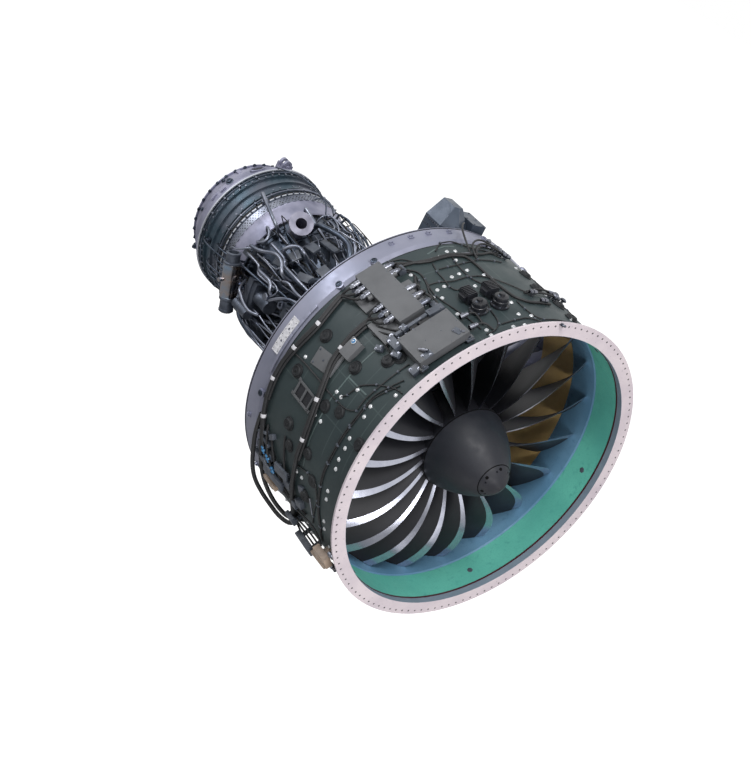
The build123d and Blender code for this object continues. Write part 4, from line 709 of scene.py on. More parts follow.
# The thick cable from the rear box to the right, and its loops with unions
cables(
    "thick_cable",
    [
        case_points(
            dense([
                (40.5, 0.9), (35, 0.925), (29.1, 0.864), (25.8, 0.846), (17, 0.854), (12.1, 0.83),
                (11.4, 0.721), (11.8, 0.556), (11.2, 0.436), (10.4, 0.347), (6.3, 0.288), (0.8, 0.292),
                (-4, 0.3),
            ]),
            0.01,
        ),
        case_points(
            dense([
                (40.3, 0.84), (36, 0.9), (30, 0.88), (25.8, 0.862), (17, 0.872), (10.5, 0.85), (4, 0.86),
                (-1, 0.9), (-6, 0.912),
            ]),
            0.01,
        ),
    ],
    0.0085, black_rubber,
)
cables("right_loops", [
    [(1.092, 8.5, 0.8), (1.115, 8, 0.9), (1.135, 3.5, 0.975), (1.13, -2, 0.985), (1.115, -6, 0.93)],
    [(1.092, 7, 0.84), (1.11, 6, 0.9), (1.128, 2.5, 0.94), (1.125, -2, 0.945), (1.112, -7, 0.9)],
    [(1.092, 9, 0.86), (1.15, 7.5, 1.03), (1.16, 4.5, 1.12), (1.15, 2, 1.16)],
    [(1.092, 2.2, 0.419), (1.11, -2, 0.44), (1.118, -7, 0.45), (1.115, -10, 0.458)],
    [(1.092, 4, 0.4), (1.1, 0, 0.405), (1.112, -6, 0.41), (1.112, -11, 0.418)],
], 0.0065, black_rubber)


def union(place, length=0.07, radius=0.015):
    """A screwed union: hexagons and a knurled collar in line, along local z."""
    turned(place, [
        (radius * 0.6, 0), (radius * 0.6, length * 0.1), (radius, length * 0.12), (radius, length * 0.34),
        (radius * 0.66, length * 0.36), (radius * 0.66, length * 0.44), (radius * 1.12, length * 0.46),
        (radius * 1.12, length * 0.7), (radius * 0.8, length * 0.73), (radius * 0.8, length), (0, length),
    ], 12)


for radius, clock, station, aim in (
    (1.112, -6, 0.93, (-9.4, 0.915)), (1.11, -7, 0.897, (-10.4, 0.882)), (1.116, -5, 0.965, (-8.4, 0.95)),
    (1.112, 2.8, 0.382, (-0.6, 0.39)), (1.112, -10, 0.458, (-13.5, 0.462)),
    (1.11, -11, 0.418, (-14.5, 0.422)), (1.108, 1.2, 0.3, (-2, 0.302)), (1.12, -3.5, 1, (-6.4, 1.04)),
):
    start, end = at(radius, clock, station), at(radius, *aim)
    union(along(start, end), (end - start).length)
    block(on_case((clock + aim[0]) / 2, (station + aim[1]) / 2), (0.022, 0.016, 0.032), 0.003)
for clock, station in ((-14.8, 0.47), (-17, 0.43)):
    turned(seat(1.105, clock, station), [
        (0.01, -0.022), (0.01, 0.004), (0.021, 0.008), (0.023, 0.016), (0.016, 0.024), (0.006, 0.027),
        (0, 0.027),
    ], 20)
rod(at(1.092, 16.5, 0.87), at(1.092, 8, 0.869), 0.006)
piece("unions", bright_steel)

# Round connectors on both sides of the rear box, with their cable tails
rear_box = seat(BOX_MIDDLE, 45.4, 0.705)
for side, stations in (
    (1, (-0.175, -0.115, -0.055, 0.095, 0.155, 0.215)), (-1, (-0.21, -0.13, -0.05, 0.13, 0.2)),
):
    for station in stations:
        place = rear_box @ shift(station, side * 0.088, 0) @ rotation(-90 * side, "X")
        turned(place, [
            (0.024, 0), (0.024, 0.01), (0.0205, 0.012), (0.0205, 0.032), (0.018, 0.034), (0.019, 0.052),
            (0.015, 0.058), (0.012, 0.068), (0, 0.068),
        ], 22)
        for step in range(12):
            ridge = place @ rotation(30 * step, "Z") @ shift(0.0205, 0, 0.016)
            block(ridge, (0.0022, 0.004, 0.012))
piece("box_connectors", bright_steel)


def bundle(side, stations, target):
    """Cables that leave connectors on one side of the rear box and gather at a point."""
    routes = []
    for station in stations:
        start = rear_box @ Vector((station, side * 0.15, 0))
        lead = rear_box @ Vector((station + 0.01 * side, side * 0.182, -0.006))
        routes.append([start, lead, *target])
    return routes


rear_target = [(1.105, 56.5, 0.945), (1.1045, 58.5, 0.948), (1.1035, 61.5, 0.936)]
front_target = [(1.108, 55, 0.655), (1.1055, 58, 0.655), (1.1035, 61, 0.656)]
right_target = [(1.105, 38, 0.93), (1.1, 36, 0.935), (1.0935, 33.5, 0.91)]
cables("box_tails", [
    *bundle(1, (0.095, 0.155, 0.215), rear_target), *bundle(1, (-0.175, -0.115, -0.055), front_target),
    *bundle(-1, (0.13, 0.2), right_target),
    *bundle(-1, (-0.21, -0.13, -0.05), [(1.11, 37.6, 0.63), (1.1, 36.2, 0.7), (1.092, 34.5, 0.76)]),
], 0.0085, black_rubber)

# Screws, lugs and connectors of the boxes
lug_places = ((54.1, 0.43), (53.6, 0.095), (36.6, 0.43), (36.9, 0.095))
lid = seat(BOX_TOP, 45.4, 0.705)
front_lid = seat(BOX_TOP, 45.3, 0.215)
for lengthwise in (-0.245, -0.15, -0.05, 0.05, 0.15, 0.245):
    for across in (-0.08, 0.08):
        dome(lid @ shift(lengthwise, across, 0), 0.0035, 0.002)
for lengthwise in (-0.112, 0, 0.112):
    for across in (-0.165, -0.055, 0.055, 0.165):
        dome(front_lid @ shift(lengthwise, across, 0), 0.0035, 0.002)
piece("lid_screws", grey_block)
for clock, station in lug_places:
    base = seat(1.0985, clock, station)
    block(base, (0.044, 0.05, 0.01), 0.003)
    turned(base @ shift(0, 0, 0.01), [(0.015, 0), (0.015, 0.01), (0.012, 0.012), (0, 0.012)], 18)
piece("box_lugs", grey_block)
for clock, station in lug_places:
    bolt(seat(1.1205, clock, station), 0.008)
for clock in (53, 50.5, 48):
    place = seat(1.115, clock, 0.355) @ rotation(90, "Y")
    turned(place, [
        (0.015, -0.014), (0.015, 0.01), (0.013, 0.012), (0.013, 0.034), (0.008, 0.04), (0, 0.04),
    ], 20)
for clock, station in ((33.5, 0.16), (33.2, 0.27)):
    place = seat(1.115, clock, station) @ rotation(90, "X")
    turned(place, [
        (0.017, -0.02), (0.017, 0.01), (0.014, 0.012), (0.014, 0.034), (0.009, 0.04), (0, 0.04),
    ], 20)
piece("front_box_connectors", bright_steel)
# Painted shade: dark blocks in the gap between the two boxes
for clock, front, rear, width in ((43, 0.34, 0.42, 0.1), (47.5, 0.345, 0.43, 0.05)):
    block(seat(1.092, clock, (front + rear) / 2), (rear - front, width, 0.036), 0.004)
piece("box_gap_shade", shadow_hole)
cables("front_box_tails", [
    [(1.115, 53, 0.395), (1.113, 53.8, 0.44), (1.1, 55.5, 0.5), (1.092, 57, 0.6)],
    [(1.115, 50.5, 0.395), (1.112, 51, 0.42), (1.105, 53, 0.48), (1.096, 55.5, 0.58)],
    [(1.115, 31.3, 0.16), (1.11, 29.5, 0.165), (1.095, 28.2, 0.13), (1.089, 28, 0.1)],
    [(1.115, 31, 0.27), (1.11, 29.2, 0.28), (1.1, 28.6, 0.24), (1.089, 29.2, 0.17)],
    [(1.092, 48, 0.33), (1.095, 45, 0.4), (1.092, 41.5, 0.435), (1.092, 38, 0.44)],
], 0.0062, black_rubber)

# Ledges, clamps and a latch round the two boxes
block(on_case(52.3, 0.785), (0.15, 0.1, 0.02), 0.003)
block(on_case(53.4, 0.52), (0.21, 0.15, 0.02), 0.003)
block(on_case(38.6, 0.64), (0.24, 0.07, 0.018), 0.003)
piece("box_ledges", box_paint)
clamps = (
    (1.108, 55.2, 0.355, (0.1, 0.052, 0.04), 0), (1.1, 57, 0.3, (0.06, 0.04, 0.024), 20),
    (1.15, 39.2, 0.145, (0.06, 0.04, 0.01), 15), (1.15, 51, 0.115, (0.05, 0.075, 0.008), 0),
    (1.11, 39, 0.392, (0.05, 0.11, 0.038), 0), (1.104, 47.6, 0.4, (0.024, 0.23, 0.03), 0),
    (1.082, 55.9, 0.128, (0.06, 0.07, 0.028), 0), (1.112, 50, 0.405, (0.045, 0.04, 0.034), 10),
    (1.082, 59.4, 0.43, (0.05, 0.036, 0.03), 30), (1.082, 36.6, 0.86, (0.06, 0.05, 0.034), 0),
    (1.082, 52, 0.9, (0.05, 0.06, 0.03), 0), (1.082, 37.2, 0.47, (0.05, 0.04, 0.03), 0),
)
for *spot, size, spin in clamps:
    block(seat(*spot, spin), size, 0.004)
piece("box_clamps", grey_block)
for *spot, size, spin in clamps:
    for share in (-0.28, 0.28):
        bolt(seat(*spot, spin) @ shift(size[0] * share, size[1] * share, size[2] - 0.0005), 0.0055)
latch = seat(1.158, 50.6, 0.15, spin=35)
turned(latch @ shift(-0.028, 0, 0.008) @ rotation(90, "Y"), [
    (0.009, 0), (0.009, 0.016), (0.012, 0.018), (0.012, 0.038), (0.008, 0.041), (0.008, 0.06), (0, 0.06),
], 16)
turned(seat(1.15, 38, 0.115), [(0.016, 0), (0.016, 0.006), (0.01, 0.008), (0.01, 0.013), (0, 0.013)], 20)
piece("clamp_bolts", bright_steel)
cables("box_edge_tubes", [
    [
        (1.09, 57.8, 0.56), (1.094, 57.4, 0.525), (1.094, 57, 0.456), (1.094, 58, 0.347),
        (1.092, 57.2, 0.29), (1.088, 54.9, 0.276),
    ],
    [
        (1.094, 37.6, 0.42), (1.096, 36, 0.45), (1.094, 35.3, 0.496), (1.09, 34.8, 0.59),
        (1.089, 33.3, 0.653), (1.089, 31.8, 0.758), (1.089, 32.8, 0.822), (1.09, 35.2, 0.86),
    ],
    [
        (1.0885, 81.3, 0.975), (1.0885, 80.6, 0.948), (1.0885, 80.2, 0.821), (1.0885, 80.3, 0.687),
        (1.0885, 80.4, 0.567),
    ],
], 0.0055, black_rubber)

# Harness ties and clamps, and the second strand of each harness
rear_run = [
    (57, 0.95), (62.8, 0.93), (68, 0.915), (73.5, 0.925), (79, 0.947), (85, 0.968), (92, 0.976),
    (99, 0.968), (106, 0.952), (112, 0.93),
]
front_run = [
    (57, 0.65), (62, 0.656), (68, 0.641), (73, 0.632), (79, 0.582), (85, 0.548), (92, 0.52), (99, 0.512),
    (106, 0.52),
]
for run, spots in ((rear_run, (2, 4, 6, 8)), (front_run, (2, 5, 7))):
    for spot in spots:
        ahead, before = at(HARNESS_RADIUS, *run[spot + 1]), at(HARNESS_RADIUS, *run[spot - 1])
        middle = at(1.1024, *run[spot])
        direction = (ahead - before).normalized()
        place = along(middle - direction * 0.013, middle + direction)
        turned(place, [(0.0165, 0), (0.0178, 0.002), (0.0178, 0.024), (0.0165, 0.026)], 24)
piece("harness_ties", tie_white)
cables(
    "second_strands",
    [
        [(1.1, clock + 0.6, station - 0.026) for clock, station in front_run],
        [(1.1, clock + 0.4, station - 0.024) for clock, station in rear_run[:8]],
    ],
    0.0085, black_rubber,
)

# Loops, bracket and connector blocks that stand proud at the lower left
cables("proud_loops", [
    [
        (HARNESS_RADIUS, 106, 0.975), (1.112, 113, 1), (1.13, 120, 1), (1.155, 128, 1.01),
        (1.172, 136, 1.03), (1.182, 142, 0.985), (1.186, 144, 0.9), (1.188, 144.5, 0.8),
        (1.168, 145, 0.705), (1.13, 144, 0.66), (1.115, 140, 0.66),
    ],
    [
        (HARNESS_RADIUS, 110, 0.935), (1.12, 121, 0.93), (1.14, 131, 0.92), (1.155, 139, 0.87),
        (1.155, 143, 0.79), (1.14, 144, 0.72), (1.118, 142, 0.66),
    ],
    [
        (HARNESS_RADIUS, 104, 0.518), (1.105, 112, 0.525), (1.108, 120, 0.535), (1.112, 128, 0.552),
        (1.116, 136, 0.6), (1.112, 141, 0.64),
    ],
], 0.0145, black_rubber, 4)
cables("lower_wires", [
    [(1.112, 140, 0.66), (1.13, 141, 0.56), (1.15, 142, 0.5), (1.16, 142, 0.45)],
    [(1.112, 141, 0.65), (1.12, 139, 0.55), (1.125, 138, 0.44), (1.13, 137, 0.33), (1.135, 137, 0.25)],
    [(1.112, 138, 0.64), (1.115, 135, 0.52), (1.115, 133, 0.4), (1.12, 132, 0.28), (1.13, 131, 0.2)],
    [(1.105, 130, 0.58), (1.11, 128, 0.45), (1.105, 127, 0.33), (1.1, 129, 0.25), (1.12, 131, 0.19)],
], 0.0065, black_rubber)
for radius, clock, station, size, tilt in (
    (1.135, 142.5, 0.455, (0.17, 0.085, 0.045), ("Y", 3)), (1.125, 137, 0.6, (0.09, 0.07, 0.03), ("Y", 0)),
    (1.115, 122, 0.9, (0.26, 0.028, 0.016), ("Y", 4)), (1.118, 124, 0.75, (0.24, 0.05, 0.02), ("X", 10)),
    (1.105, 118, 0.66, (0.14, 0.07, 0.018), ("Y", -4)), (1.09, 124, 0.86, (0.05, 0.12, 0.04), ("Y", 0)),
):
    block(seat(radius, clock, station, tilt=tilt), size, 0.006)
    for lengthwise in (-0.38, 0.38):
        block(
            on_case(clock, station + size[0] * lengthwise), (0.022, 0.022, radius - CASE_RADIUS + 0.004),
            0.003,
        )
for clock, station, size, spin in (
    (112, 0.935, (0.12, 0.022, 0.03), 25), (114, 0.885, (0.1, 0.02, 0.034), -18),
    (118.5, 0.83, (0.06, 0.05, 0.03), 0), (110, 0.82, (0.05, 0.036, 0.03), 35),
    (121, 0.6, (0.08, 0.06, 0.034), 0), (117, 0.44, (0.05, 0.05, 0.022), 20),
    (124, 0.46, (0.07, 0.05, 0.034), 10), (127, 0.53, (0.06, 0.06, 0.04), 0),
    (119.5, 0.955, (0.03, 0.12, 0.034), 0),
):
    block(seat(CASE_RADIUS - 0.002, clock, station, spin=spin), size, 0.004)
piece("lower_brackets", grey_block)
cables("lower_hoses", [
    [
        (1.0885, 106, 0.955), (1.104, 109, 0.93), (1.118, 114, 0.905), (1.12, 119, 0.86),
        (1.112, 124, 0.81), (1.0885, 127, 0.78),
    ],
    [
        (1.0885, 108, 0.9), (1.108, 112, 0.875), (1.12, 118, 0.83), (1.118, 123, 0.77), (1.112, 127, 0.7),
        (1.1, 129, 0.62),
    ],
    [
        (1.0885, 110, 0.85), (1.102, 115, 0.8), (1.108, 120, 0.74), (1.108, 125, 0.66), (1.1, 128, 0.58),
        (1.1, 129, 0.5),
    ],
    [
        (1.0885, 105, 0.7), (1.094, 111, 0.68), (1.1, 117, 0.64), (1.108, 123, 0.58), (1.104, 127, 0.5),
        (1.0885, 128, 0.42),
    ],
], 0.0075, black_rubber)
for clock, station, aim in (
    (116, 0.895, (118.5, 0.868)), (117.5, 0.842, (120, 0.812)), (121, 0.79, (123, 0.762)),
):
    start, finish = at(1.119, clock, station), at(1.119, *aim)
    union(along(start, finish), (finish - start).length, 0.013)
piece("hose_unions", sensor_blue)
for radius, clock, station, size in (
    (1.13, 142.5, 0.29, (0.13, 0.075, 0.04)), (1.12, 133, 0.15, (0.14, 0.09, 0.05)),
    (1.118, 128.5, 0.8, (0.15, 0.04, 0.03)),
):
    block(seat(radius, clock, station), size, 0.01)
    block(on_case(clock, station), (size[0] * 0.5, 0.03, radius - CASE_RADIUS + 0.004), 0.003)
piece("tan_connectors", tan_block)
for radius, clock, station, length in (
    (1.128, 140.5, 0.235, 0.1), (1.125, 136.5, 0.09, 0.07), (1.118, 129, 0.06, 0.05),
):
    place = seat(radius, clock, station) @ rotation(-90, "Y")
    turned(place, [
        (0.015, -length / 2), (0.017, -length / 2 + 0.01), (0.017, 0), (0.013, 0.004), (0.013, length / 2),
        (0, length / 2),
    ], 20)
    block(on_case(clock, station), (0.02, 0.02, radius - CASE_RADIUS), 0.003)
rod(at(1.094, 116, 0.335), at(1.094, 122, 0.305), 0.005)
piece("lower_plugs", bright_steel)

# Valve canisters: bands, ribbed heads and their bolts
valve_places = ((26.2, 0.3), (18.2, 0.297))
for clock, station in valve_places:
    place = on_case(clock, station)
    turned(place, [(0.06, 0.002), (0.061, 0.008), (0.06, 0.014), (0.046, 0.016)], 36)
    turned(place, [(0.0445, 0.03), (0.047, 0.032), (0.047, 0.04), (0.0445, 0.042)], 36)
    turned(place, [(0.0445, 0.062), (0.04, 0.07), (0.02, 0.074), (0.018, 0.088), (0, 0.09)], 36)
    head = on_case(clock, station + 0.118)
    for step in range(7):
        block(head @ shift(-0.042 + 0.014 * step, 0, 0.064), (0.006, 0.066, 0.012), 0.001)
    block(head @ shift(0, 0.042, 0.02), (0.06, 0.022, 0.03), 0.004)
piece("valve_heads", valve_black)
for clock, station in valve_places:
    place = on_case(clock, station)
    for step in range(8):
        spot = place @ rotation(45 * step + 10, "Z") @ shift(0.053, 0, 0.014)
        bolt(spot, 0.004)
    block(place @ shift(0, 0.02, 0.071), (0.018, 0.022, 0.004), 0.002)
piece("valve_bolts", grey_block)


# Core details
CORE_SHELL = [
    (1.2, 0.4), (1.27, 0.262), (1.93, 0.262), (1.985, 0.305), (2.075, 0.4), (2.2, 0.43), (2.4, 0.437),
    (2.56, 0.455), (2.69, 0.484), (2.71, 0.492), (3, 0.514), (3.03, 0.512), (3.115, 0.493), (3.25, 0.424),
]


def shell_radius(station):
    """The outside of the core at a station."""
    for (low, first), (high, second) in zip(CORE_SHELL, CORE_SHELL[1:]):
        if station <= high:
            share = max(0, (station - low) / (high - low))
            return first + (second - first) * share
    return CORE_SHELL[-1][1]


def core_points(points):
    """Points round the core from clock angle, station and height over the shell."""
    return [at(shell_radius(station) + height, clock, station) for clock, station, height in points]


def ring_bolts(radius, station, count, size, face=-1):
    """Bolt heads all round a flange, facing forwards or backwards."""
    for step in range(count):
        spot = at(radius, 360 * step / count, station + face * 0.001)
        bolt(along(spot, spot + Vector((0, face, 0))), size)


ring_bolts(0.512, 2.69, 64, 0.0052)
ring_bolts(0.5265, 2.99, 72, 0.0048)
ring_bolts(0.5265, 3.015, 72, 0.0048, face=1)
ring_bolts(0.248, 1.918, 40, 0.005)
ring_bolts(0.248, 1.2855, 40, 0.005, face=1)
piece("flange_bolts", pipe_metal)
for step in range(34):
    clock = 7 + 360 * step / 34
    place = seat(0.432, clock, 3.246)
    block(place, (0.018, 0.022, 0.012), 0.003)
    bolt(place @ shift(0, 0, 0.011), 0.0062, False)
for clock, station, size in (
    (51.7, 3.108, 0.02), (54.5, 3.2, 0.012), (100.3, 2.905, 0.018), (86, 3.15, 0.011), (121, 3.12, 0.018),
    (164, 3.11, 0.018), (205, 3.12, 0.018), (250, 3.11, 0.018), (300, 3.12, 0.018), (336, 3.11, 0.014),
):
    place = seat(shell_radius(station) - 0.004, clock, station)
    turned(place, [
        (size * 1.5, 0), (size * 1.5, 0.008), (size, 0.01), (size, 0.022), (size * 0.7, 0.026), (0, 0.026),
    ], 18)
    bolt(place @ shift(0, 0, 0.025), size * 0.45, False)
piece("rim_bosses", dark_steel)

# Flat pads and an oval port on the exhaust case
for clock, station, lengthwise, across in (
    (60.4, 3.085, 0.04, 0.05), (38, 3.19, 0.05, 0.03), (70, 3.1, 0.03, 0.06), (140, 3.1, 0.04, 0.06),
    (232, 3.1, 0.04, 0.06), (320, 3.1, 0.04, 0.06),
):
    block(
        seat(shell_radius(station) - 0.006, clock, station, tilt=("Y", 11)), (lengthwise, across, 0.016),
        0.004,
    )
oval = seat(shell_radius(3.088) - 0.01, 25.5, 3.088, tilt=("Y", 12)) @ Matrix.Diagonal((0.75, 1.25, 1, 1))
turned(oval, [(0.05, 0), (0.048, 0.018), (0.043, 0.022), (0.038, 0.021), (0.036, 0.01)], 32)
piece("exhaust_pads", lilac_metal)
# Painted shade: a dark disc in the oval port's opening
turned(oval @ shift(0, 0, 0.011), [(0.036, 0), (0.03, 0.001), (0, 0.001)], 32)
piece("oval_port_shade", shadow_hole)

# Heat shield with ridges, drilled band and the small rings between the turbine rails
lathe("heat_shield", [
    (0.456, 2.47), (0.464, 2.474), (0.47, 2.52), (0.479, 2.57), (0.487, 2.606), (0.491, 2.61),
    (0.491, 2.618), (0.484, 2.62), (0.47, 2.6), (0.456, 2.52),
], lilac_metal)
lathe("drilled_band", [
    (0.474, 2.622), (0.486, 2.625), (0.4985, 2.676), (0.503, 2.678), (0.503, 2.684), (0.492, 2.6845),
    (0.476, 2.64),
], pipe_metal)
# Painted shade: dark discs on the drilled band where its holes are
for step in range(120):
    for row, station in enumerate((2.638, 2.652, 2.666)):
        clock = 3 * step + 1.5 * (row % 2)
        radius = 0.486 + (station - 2.625) * 0.245
        place = seat(radius + 0.0003, clock, station, tilt=("Y", -13.5))
        size = 0.0036 if dice.random() > 0.2 else 0.0055
        turned(place, [(size, 0), (size, 0.0006), (0, 0.0006)], 8)
piece("band_hole_shade", shadow_hole)
for step in range(60):
    block(seat(0.4905, 6 * step + 2, 2.614), (0.006, 0.026, 0.006), 0.001)
    if step % 3:
        block(seat(0.5135, 6 * step, 2.774), (0.016, 0.01, 0.006), 0.001)
    block(seat(0.5235, 6 * step + 3, 2.938), (0.016, 0.01, 0.006), 0.001)
piece("rail_hooks", pipe_metal)


def hoop(name, radius, station, thickness, material):
    """A round wire ring about the engine axis."""
    turns = [math.radians(turn) for turn in range(0, 360, 45)]
    outline = [
        (radius + thickness * math.cos(turn), station + thickness * math.sin(turn))
        for turn in turns
    ]
    lathe(name, outline, material)


hoop("cool_ring_1", 0.511, 2.735, 0.007, pipe_metal)
hoop("cool_ring_2", 0.527, 2.965, 0.006, dark_steel)
lathe("gap_shadow", [(0.4925, 2.7045), (0.502, 2.7045), (0.502, 2.726), (0.4935, 2.726)], shadow_hole)
for step in range(24):
    for radius, station in ((0.511, 2.735), (0.527, 2.965)):
        block(seat(radius - 0.012, 15 * step + 4, station), (0.02, 0.014, 0.02), 0.004)
piece("ring_clamps", pipe_metal)

# Fuel rings over the injectors, with their feeds
hoop("fuel_ring_1", 0.452, 2.155, 0.009, pipe_metal)
hoop("fuel_ring_2", 0.47, 2.215, 0.007, dark_steel)
feeds = []
for step in range(16):
    clock = 11.25 + 22.5 * step
    start = at(0.352, clock, 2.045)
    turned(along(start, at(0.46, clock, 2.058)), [
        (0.016, 0), (0.016, 0.05), (0.022, 0.052), (0.022, 0.062), (0.013, 0.066), (0.013, 0.082),
        (0.009, 0.088), (0, 0.088),
    ], 14)
    for turn in range(4):
        spin = rotation(90 * turn + 45, "Z")
        bolt(along(start, at(0.46, clock, 2.058)) @ spin @ shift(0.018, 0, 0.062), 0.0035, False)
    feeds.append([
        (0.435, clock, 2.057), (0.462, clock + 0.5, 2.075), (0.47, clock + 3, 2.11),
        (0.452, clock + 4, 2.155),
    ])
    feeds.append([
        (0.428, clock, 2.052), (0.48, clock - 2, 2.09), (0.484, clock - 4, 2.16),
        (0.47, clock - 4.5, 2.215),
    ])
piece("injector_heads", cast_metal)
cables("injector_feeds", feeds, 0.0055, pipe_metal)

# Pipes traced round the near side
cables("traced_pipes_light", [
    core_points([
        (68.1, 2.455, 0.04), (69, 2.403, 0.1), (67.2, 2.35, 0.12), (63.8, 2.32, 0.125), (58.9, 2.339, 0.12),
        (55.8, 2.393, 0.12), (55.6, 2.446, 0.1), (57, 2.48, 0.02),
    ]),
    [
        (0.56, 73.7, 1.927), (0.57, 71.5, 1.879), (0.565, 72, 1.826), (0.55, 73.2, 1.775), (0.5, 72.7, 1.7),
        (0.4, 72.7, 1.6),
    ],
    [
        (0.5, 95, 2.02), (0.58, 91.3, 1.941), (0.585, 87, 1.893), (0.585, 82.1, 1.829),
        (0.575, 78.4, 1.759), (0.55, 76.7, 1.69), (0.47, 76, 1.6),
    ],
    [
        (0.54, 97, 2.3), (0.62, 98.8, 2.237), (0.625, 100.8, 2.185), (0.625, 103, 2.154),
        (0.62, 105.2, 2.105), (0.61, 106.5, 2.04), (0.58, 105.3, 1.986),
    ],
], 0.0105, pipe_metal, 4)
cables("traced_pipes_thin", [
    [
        (0.52, 79.8, 2.24), (0.575, 79.8, 2.201), (0.58, 79.8, 2.103), (0.58, 79.1, 1.996),
        (0.58, 79.1, 1.915), (0.58, 82.2, 1.893), (0.58, 87.3, 1.929), (0.57, 91.1, 1.972),
    ],
    [
        (0.485, 93, 2.65), (0.52, 88.8, 2.631), (0.525, 85.8, 2.595), (0.52, 85.2, 2.549),
        (0.52, 81.9, 2.509), (0.5, 76.8, 2.462), (0.455, 73, 2.42),
    ],
    [
        (0.47, 24, 2.29), (0.555, 19.5, 2.275), (0.565, 13.7, 2.278), (0.565, 10.7, 2.252),
        (0.56, 11.3, 2.186), (0.56, 14.6, 2.097), (0.5, 17, 2.02),
    ],
    [
        (0.54, 21.6, 2.06), (0.615, 21.6, 1.995), (0.62, 20.8, 1.919), (0.62, 18.4, 1.839),
        (0.62, 16.5, 1.76), (0.6, 15, 1.66), (0.56, 14, 1.56),
    ],
    [(0.55, 52.8, 2.295), (0.555, 53, 2.23), (0.55, 53.2, 2.163)],
    [(0.55, 74.4, 2.308), (0.555, 73.4, 2.203), (0.555, 73.6, 2.1), (0.55, 74.5, 2.016)],
], 0.0058, pipe_metal)
cables(
    "silhouette_tube",
    [
        [
            (0.53, 12, 3.04), (0.565, 11, 2.93), (0.585, 7.5, 2.83), (0.582, 4.5, 2.775), (0.582, 2.6, 2.7),
            (0.58, 2.8, 2.62), (0.58, 3.8, 2.53), (0.57, 4.4, 2.45), (0.52, 5, 2.4), (0.45, 5.5, 2.37),
        ],
        [(0.5, 0.5, 2.62), (0.535, -2, 2.6), (0.55, -3, 2.52), (0.548, -1, 2.42), (0.53, 2, 2.35)],
    ],
    0.005, dark_steel,
)
cables("thick_ducts", [
    [
        (0.44, 29, 2.28), (0.56, 26.5, 2.2), (0.585, 26.5, 2.12), (0.585, 23.6, 2.043), (0.585, 21, 1.96),
        (0.582, 20.9, 1.861), (0.57, 24.3, 1.786), (0.5, 28.3, 1.753), (0.35, 30, 1.72),
    ],
    [
        (0.5, 117, 2.36), (0.57, 121, 2.3), (0.585, 127, 2.22), (0.575, 133, 2.08), (0.55, 138, 1.95),
        (0.5, 141, 1.8), (0.44, 142, 1.62), (0.38, 142, 1.46),
    ],
    [
        (0.3, 62, 1.88), (0.42, 62, 1.86), (0.5, 58, 1.8), (0.52, 52, 1.7), (0.5, 47, 1.58),
        (0.42, 45, 1.46), (0.3, 45, 1.4),
    ],
    [
        (0.3, 98, 1.75), (0.42, 98, 1.74), (0.5, 104, 1.66), (0.52, 110, 1.56), (0.48, 114, 1.44),
        (0.4, 116, 1.34),
    ],
    [
        (0.28, 10, 1.84), (0.4, 10, 1.83), (0.47, 5, 1.76), (0.49, 0, 1.66), (0.47, -4, 1.54),
        (0.4, -6, 1.42),
    ],
], 0.02, dark_steel, 5)

routes = []
for number in range(16):
    clock = 108 + 3.4 * number
    height = 0.6 - 0.012 * abs(number - 6)
    routes.append([
        (0.43, clock - 6, 2.44), (height - 0.06, clock - 5, 2.42 + dice.uniform(-0.05, 0.03)),
        (height + dice.uniform(-0.03, 0.02), clock + dice.uniform(-4, 4), 2.26),
        (height + dice.uniform(-0.03, 0.02), clock + dice.uniform(-4, 4), 2.08),
        (height - 0.02 + dice.uniform(-0.03, 0.02), clock + 3 + dice.uniform(-4, 4), 1.9),
        (height - 0.05, clock + 4 + dice.uniform(-4, 4), 1.72), (height - 0.12, clock + 5, 1.54),
        (0.36, clock + 5, 1.42),
    ])
cables("lower_plumbing", routes, 0.0072, pipe_metal)
routes = []
for number in range(8):
    clock = 94 + 5 * number
    first = 2.46 + dice.uniform(0, 0.06)
    last = dice.choice((2.72, 2.79, 2.87, 2.95))
    routes.append(core_points([
        (clock, first, 0), (clock, first + 0.02, 0.04), (clock + 1, (first + last) / 2, 0.048),
        (clock + 1, last - 0.02, 0.046), (clock + 1, last, 0),
    ]))
cables("turbine_leads", routes, 0.0058, dark_steel)

# Plumbing all round: seeded runs along the core with tight bends, and hoops round it
def bent(points, reach=0.016):
    """Adds a point each side of every corner, so that a smooth tube runs straight and bends tightly."""
    full = [points[0]]
    for before, corner, after in zip(points, points[1:], points[2:]):
        for other in (before, after):
            run = other - corner
            full.append(corner + run * min(0.45, reach / max(run.length, 0.001)))
    full.append(points[-1])
    return full


def stepped(clock, first, last, height):
    """A run from one station to another that steps round the core once or twice."""
    points = [(clock, first, -0.004), (clock, first, height)]
    for share in sorted(dice.uniform(0.15, 0.85) for _ in range(dice.choice((1, 1, 2)))):
        station = first + (last - first) * share
        points.append((clock, station, height))
        clock += dice.choice((-1, 1)) * dice.uniform(3, 7.5)
        points.append((clock, station + dice.choice((0, 0.025)), height))
    return bent(core_points([*points, (clock, last, height), (clock, last, -0.004)]))


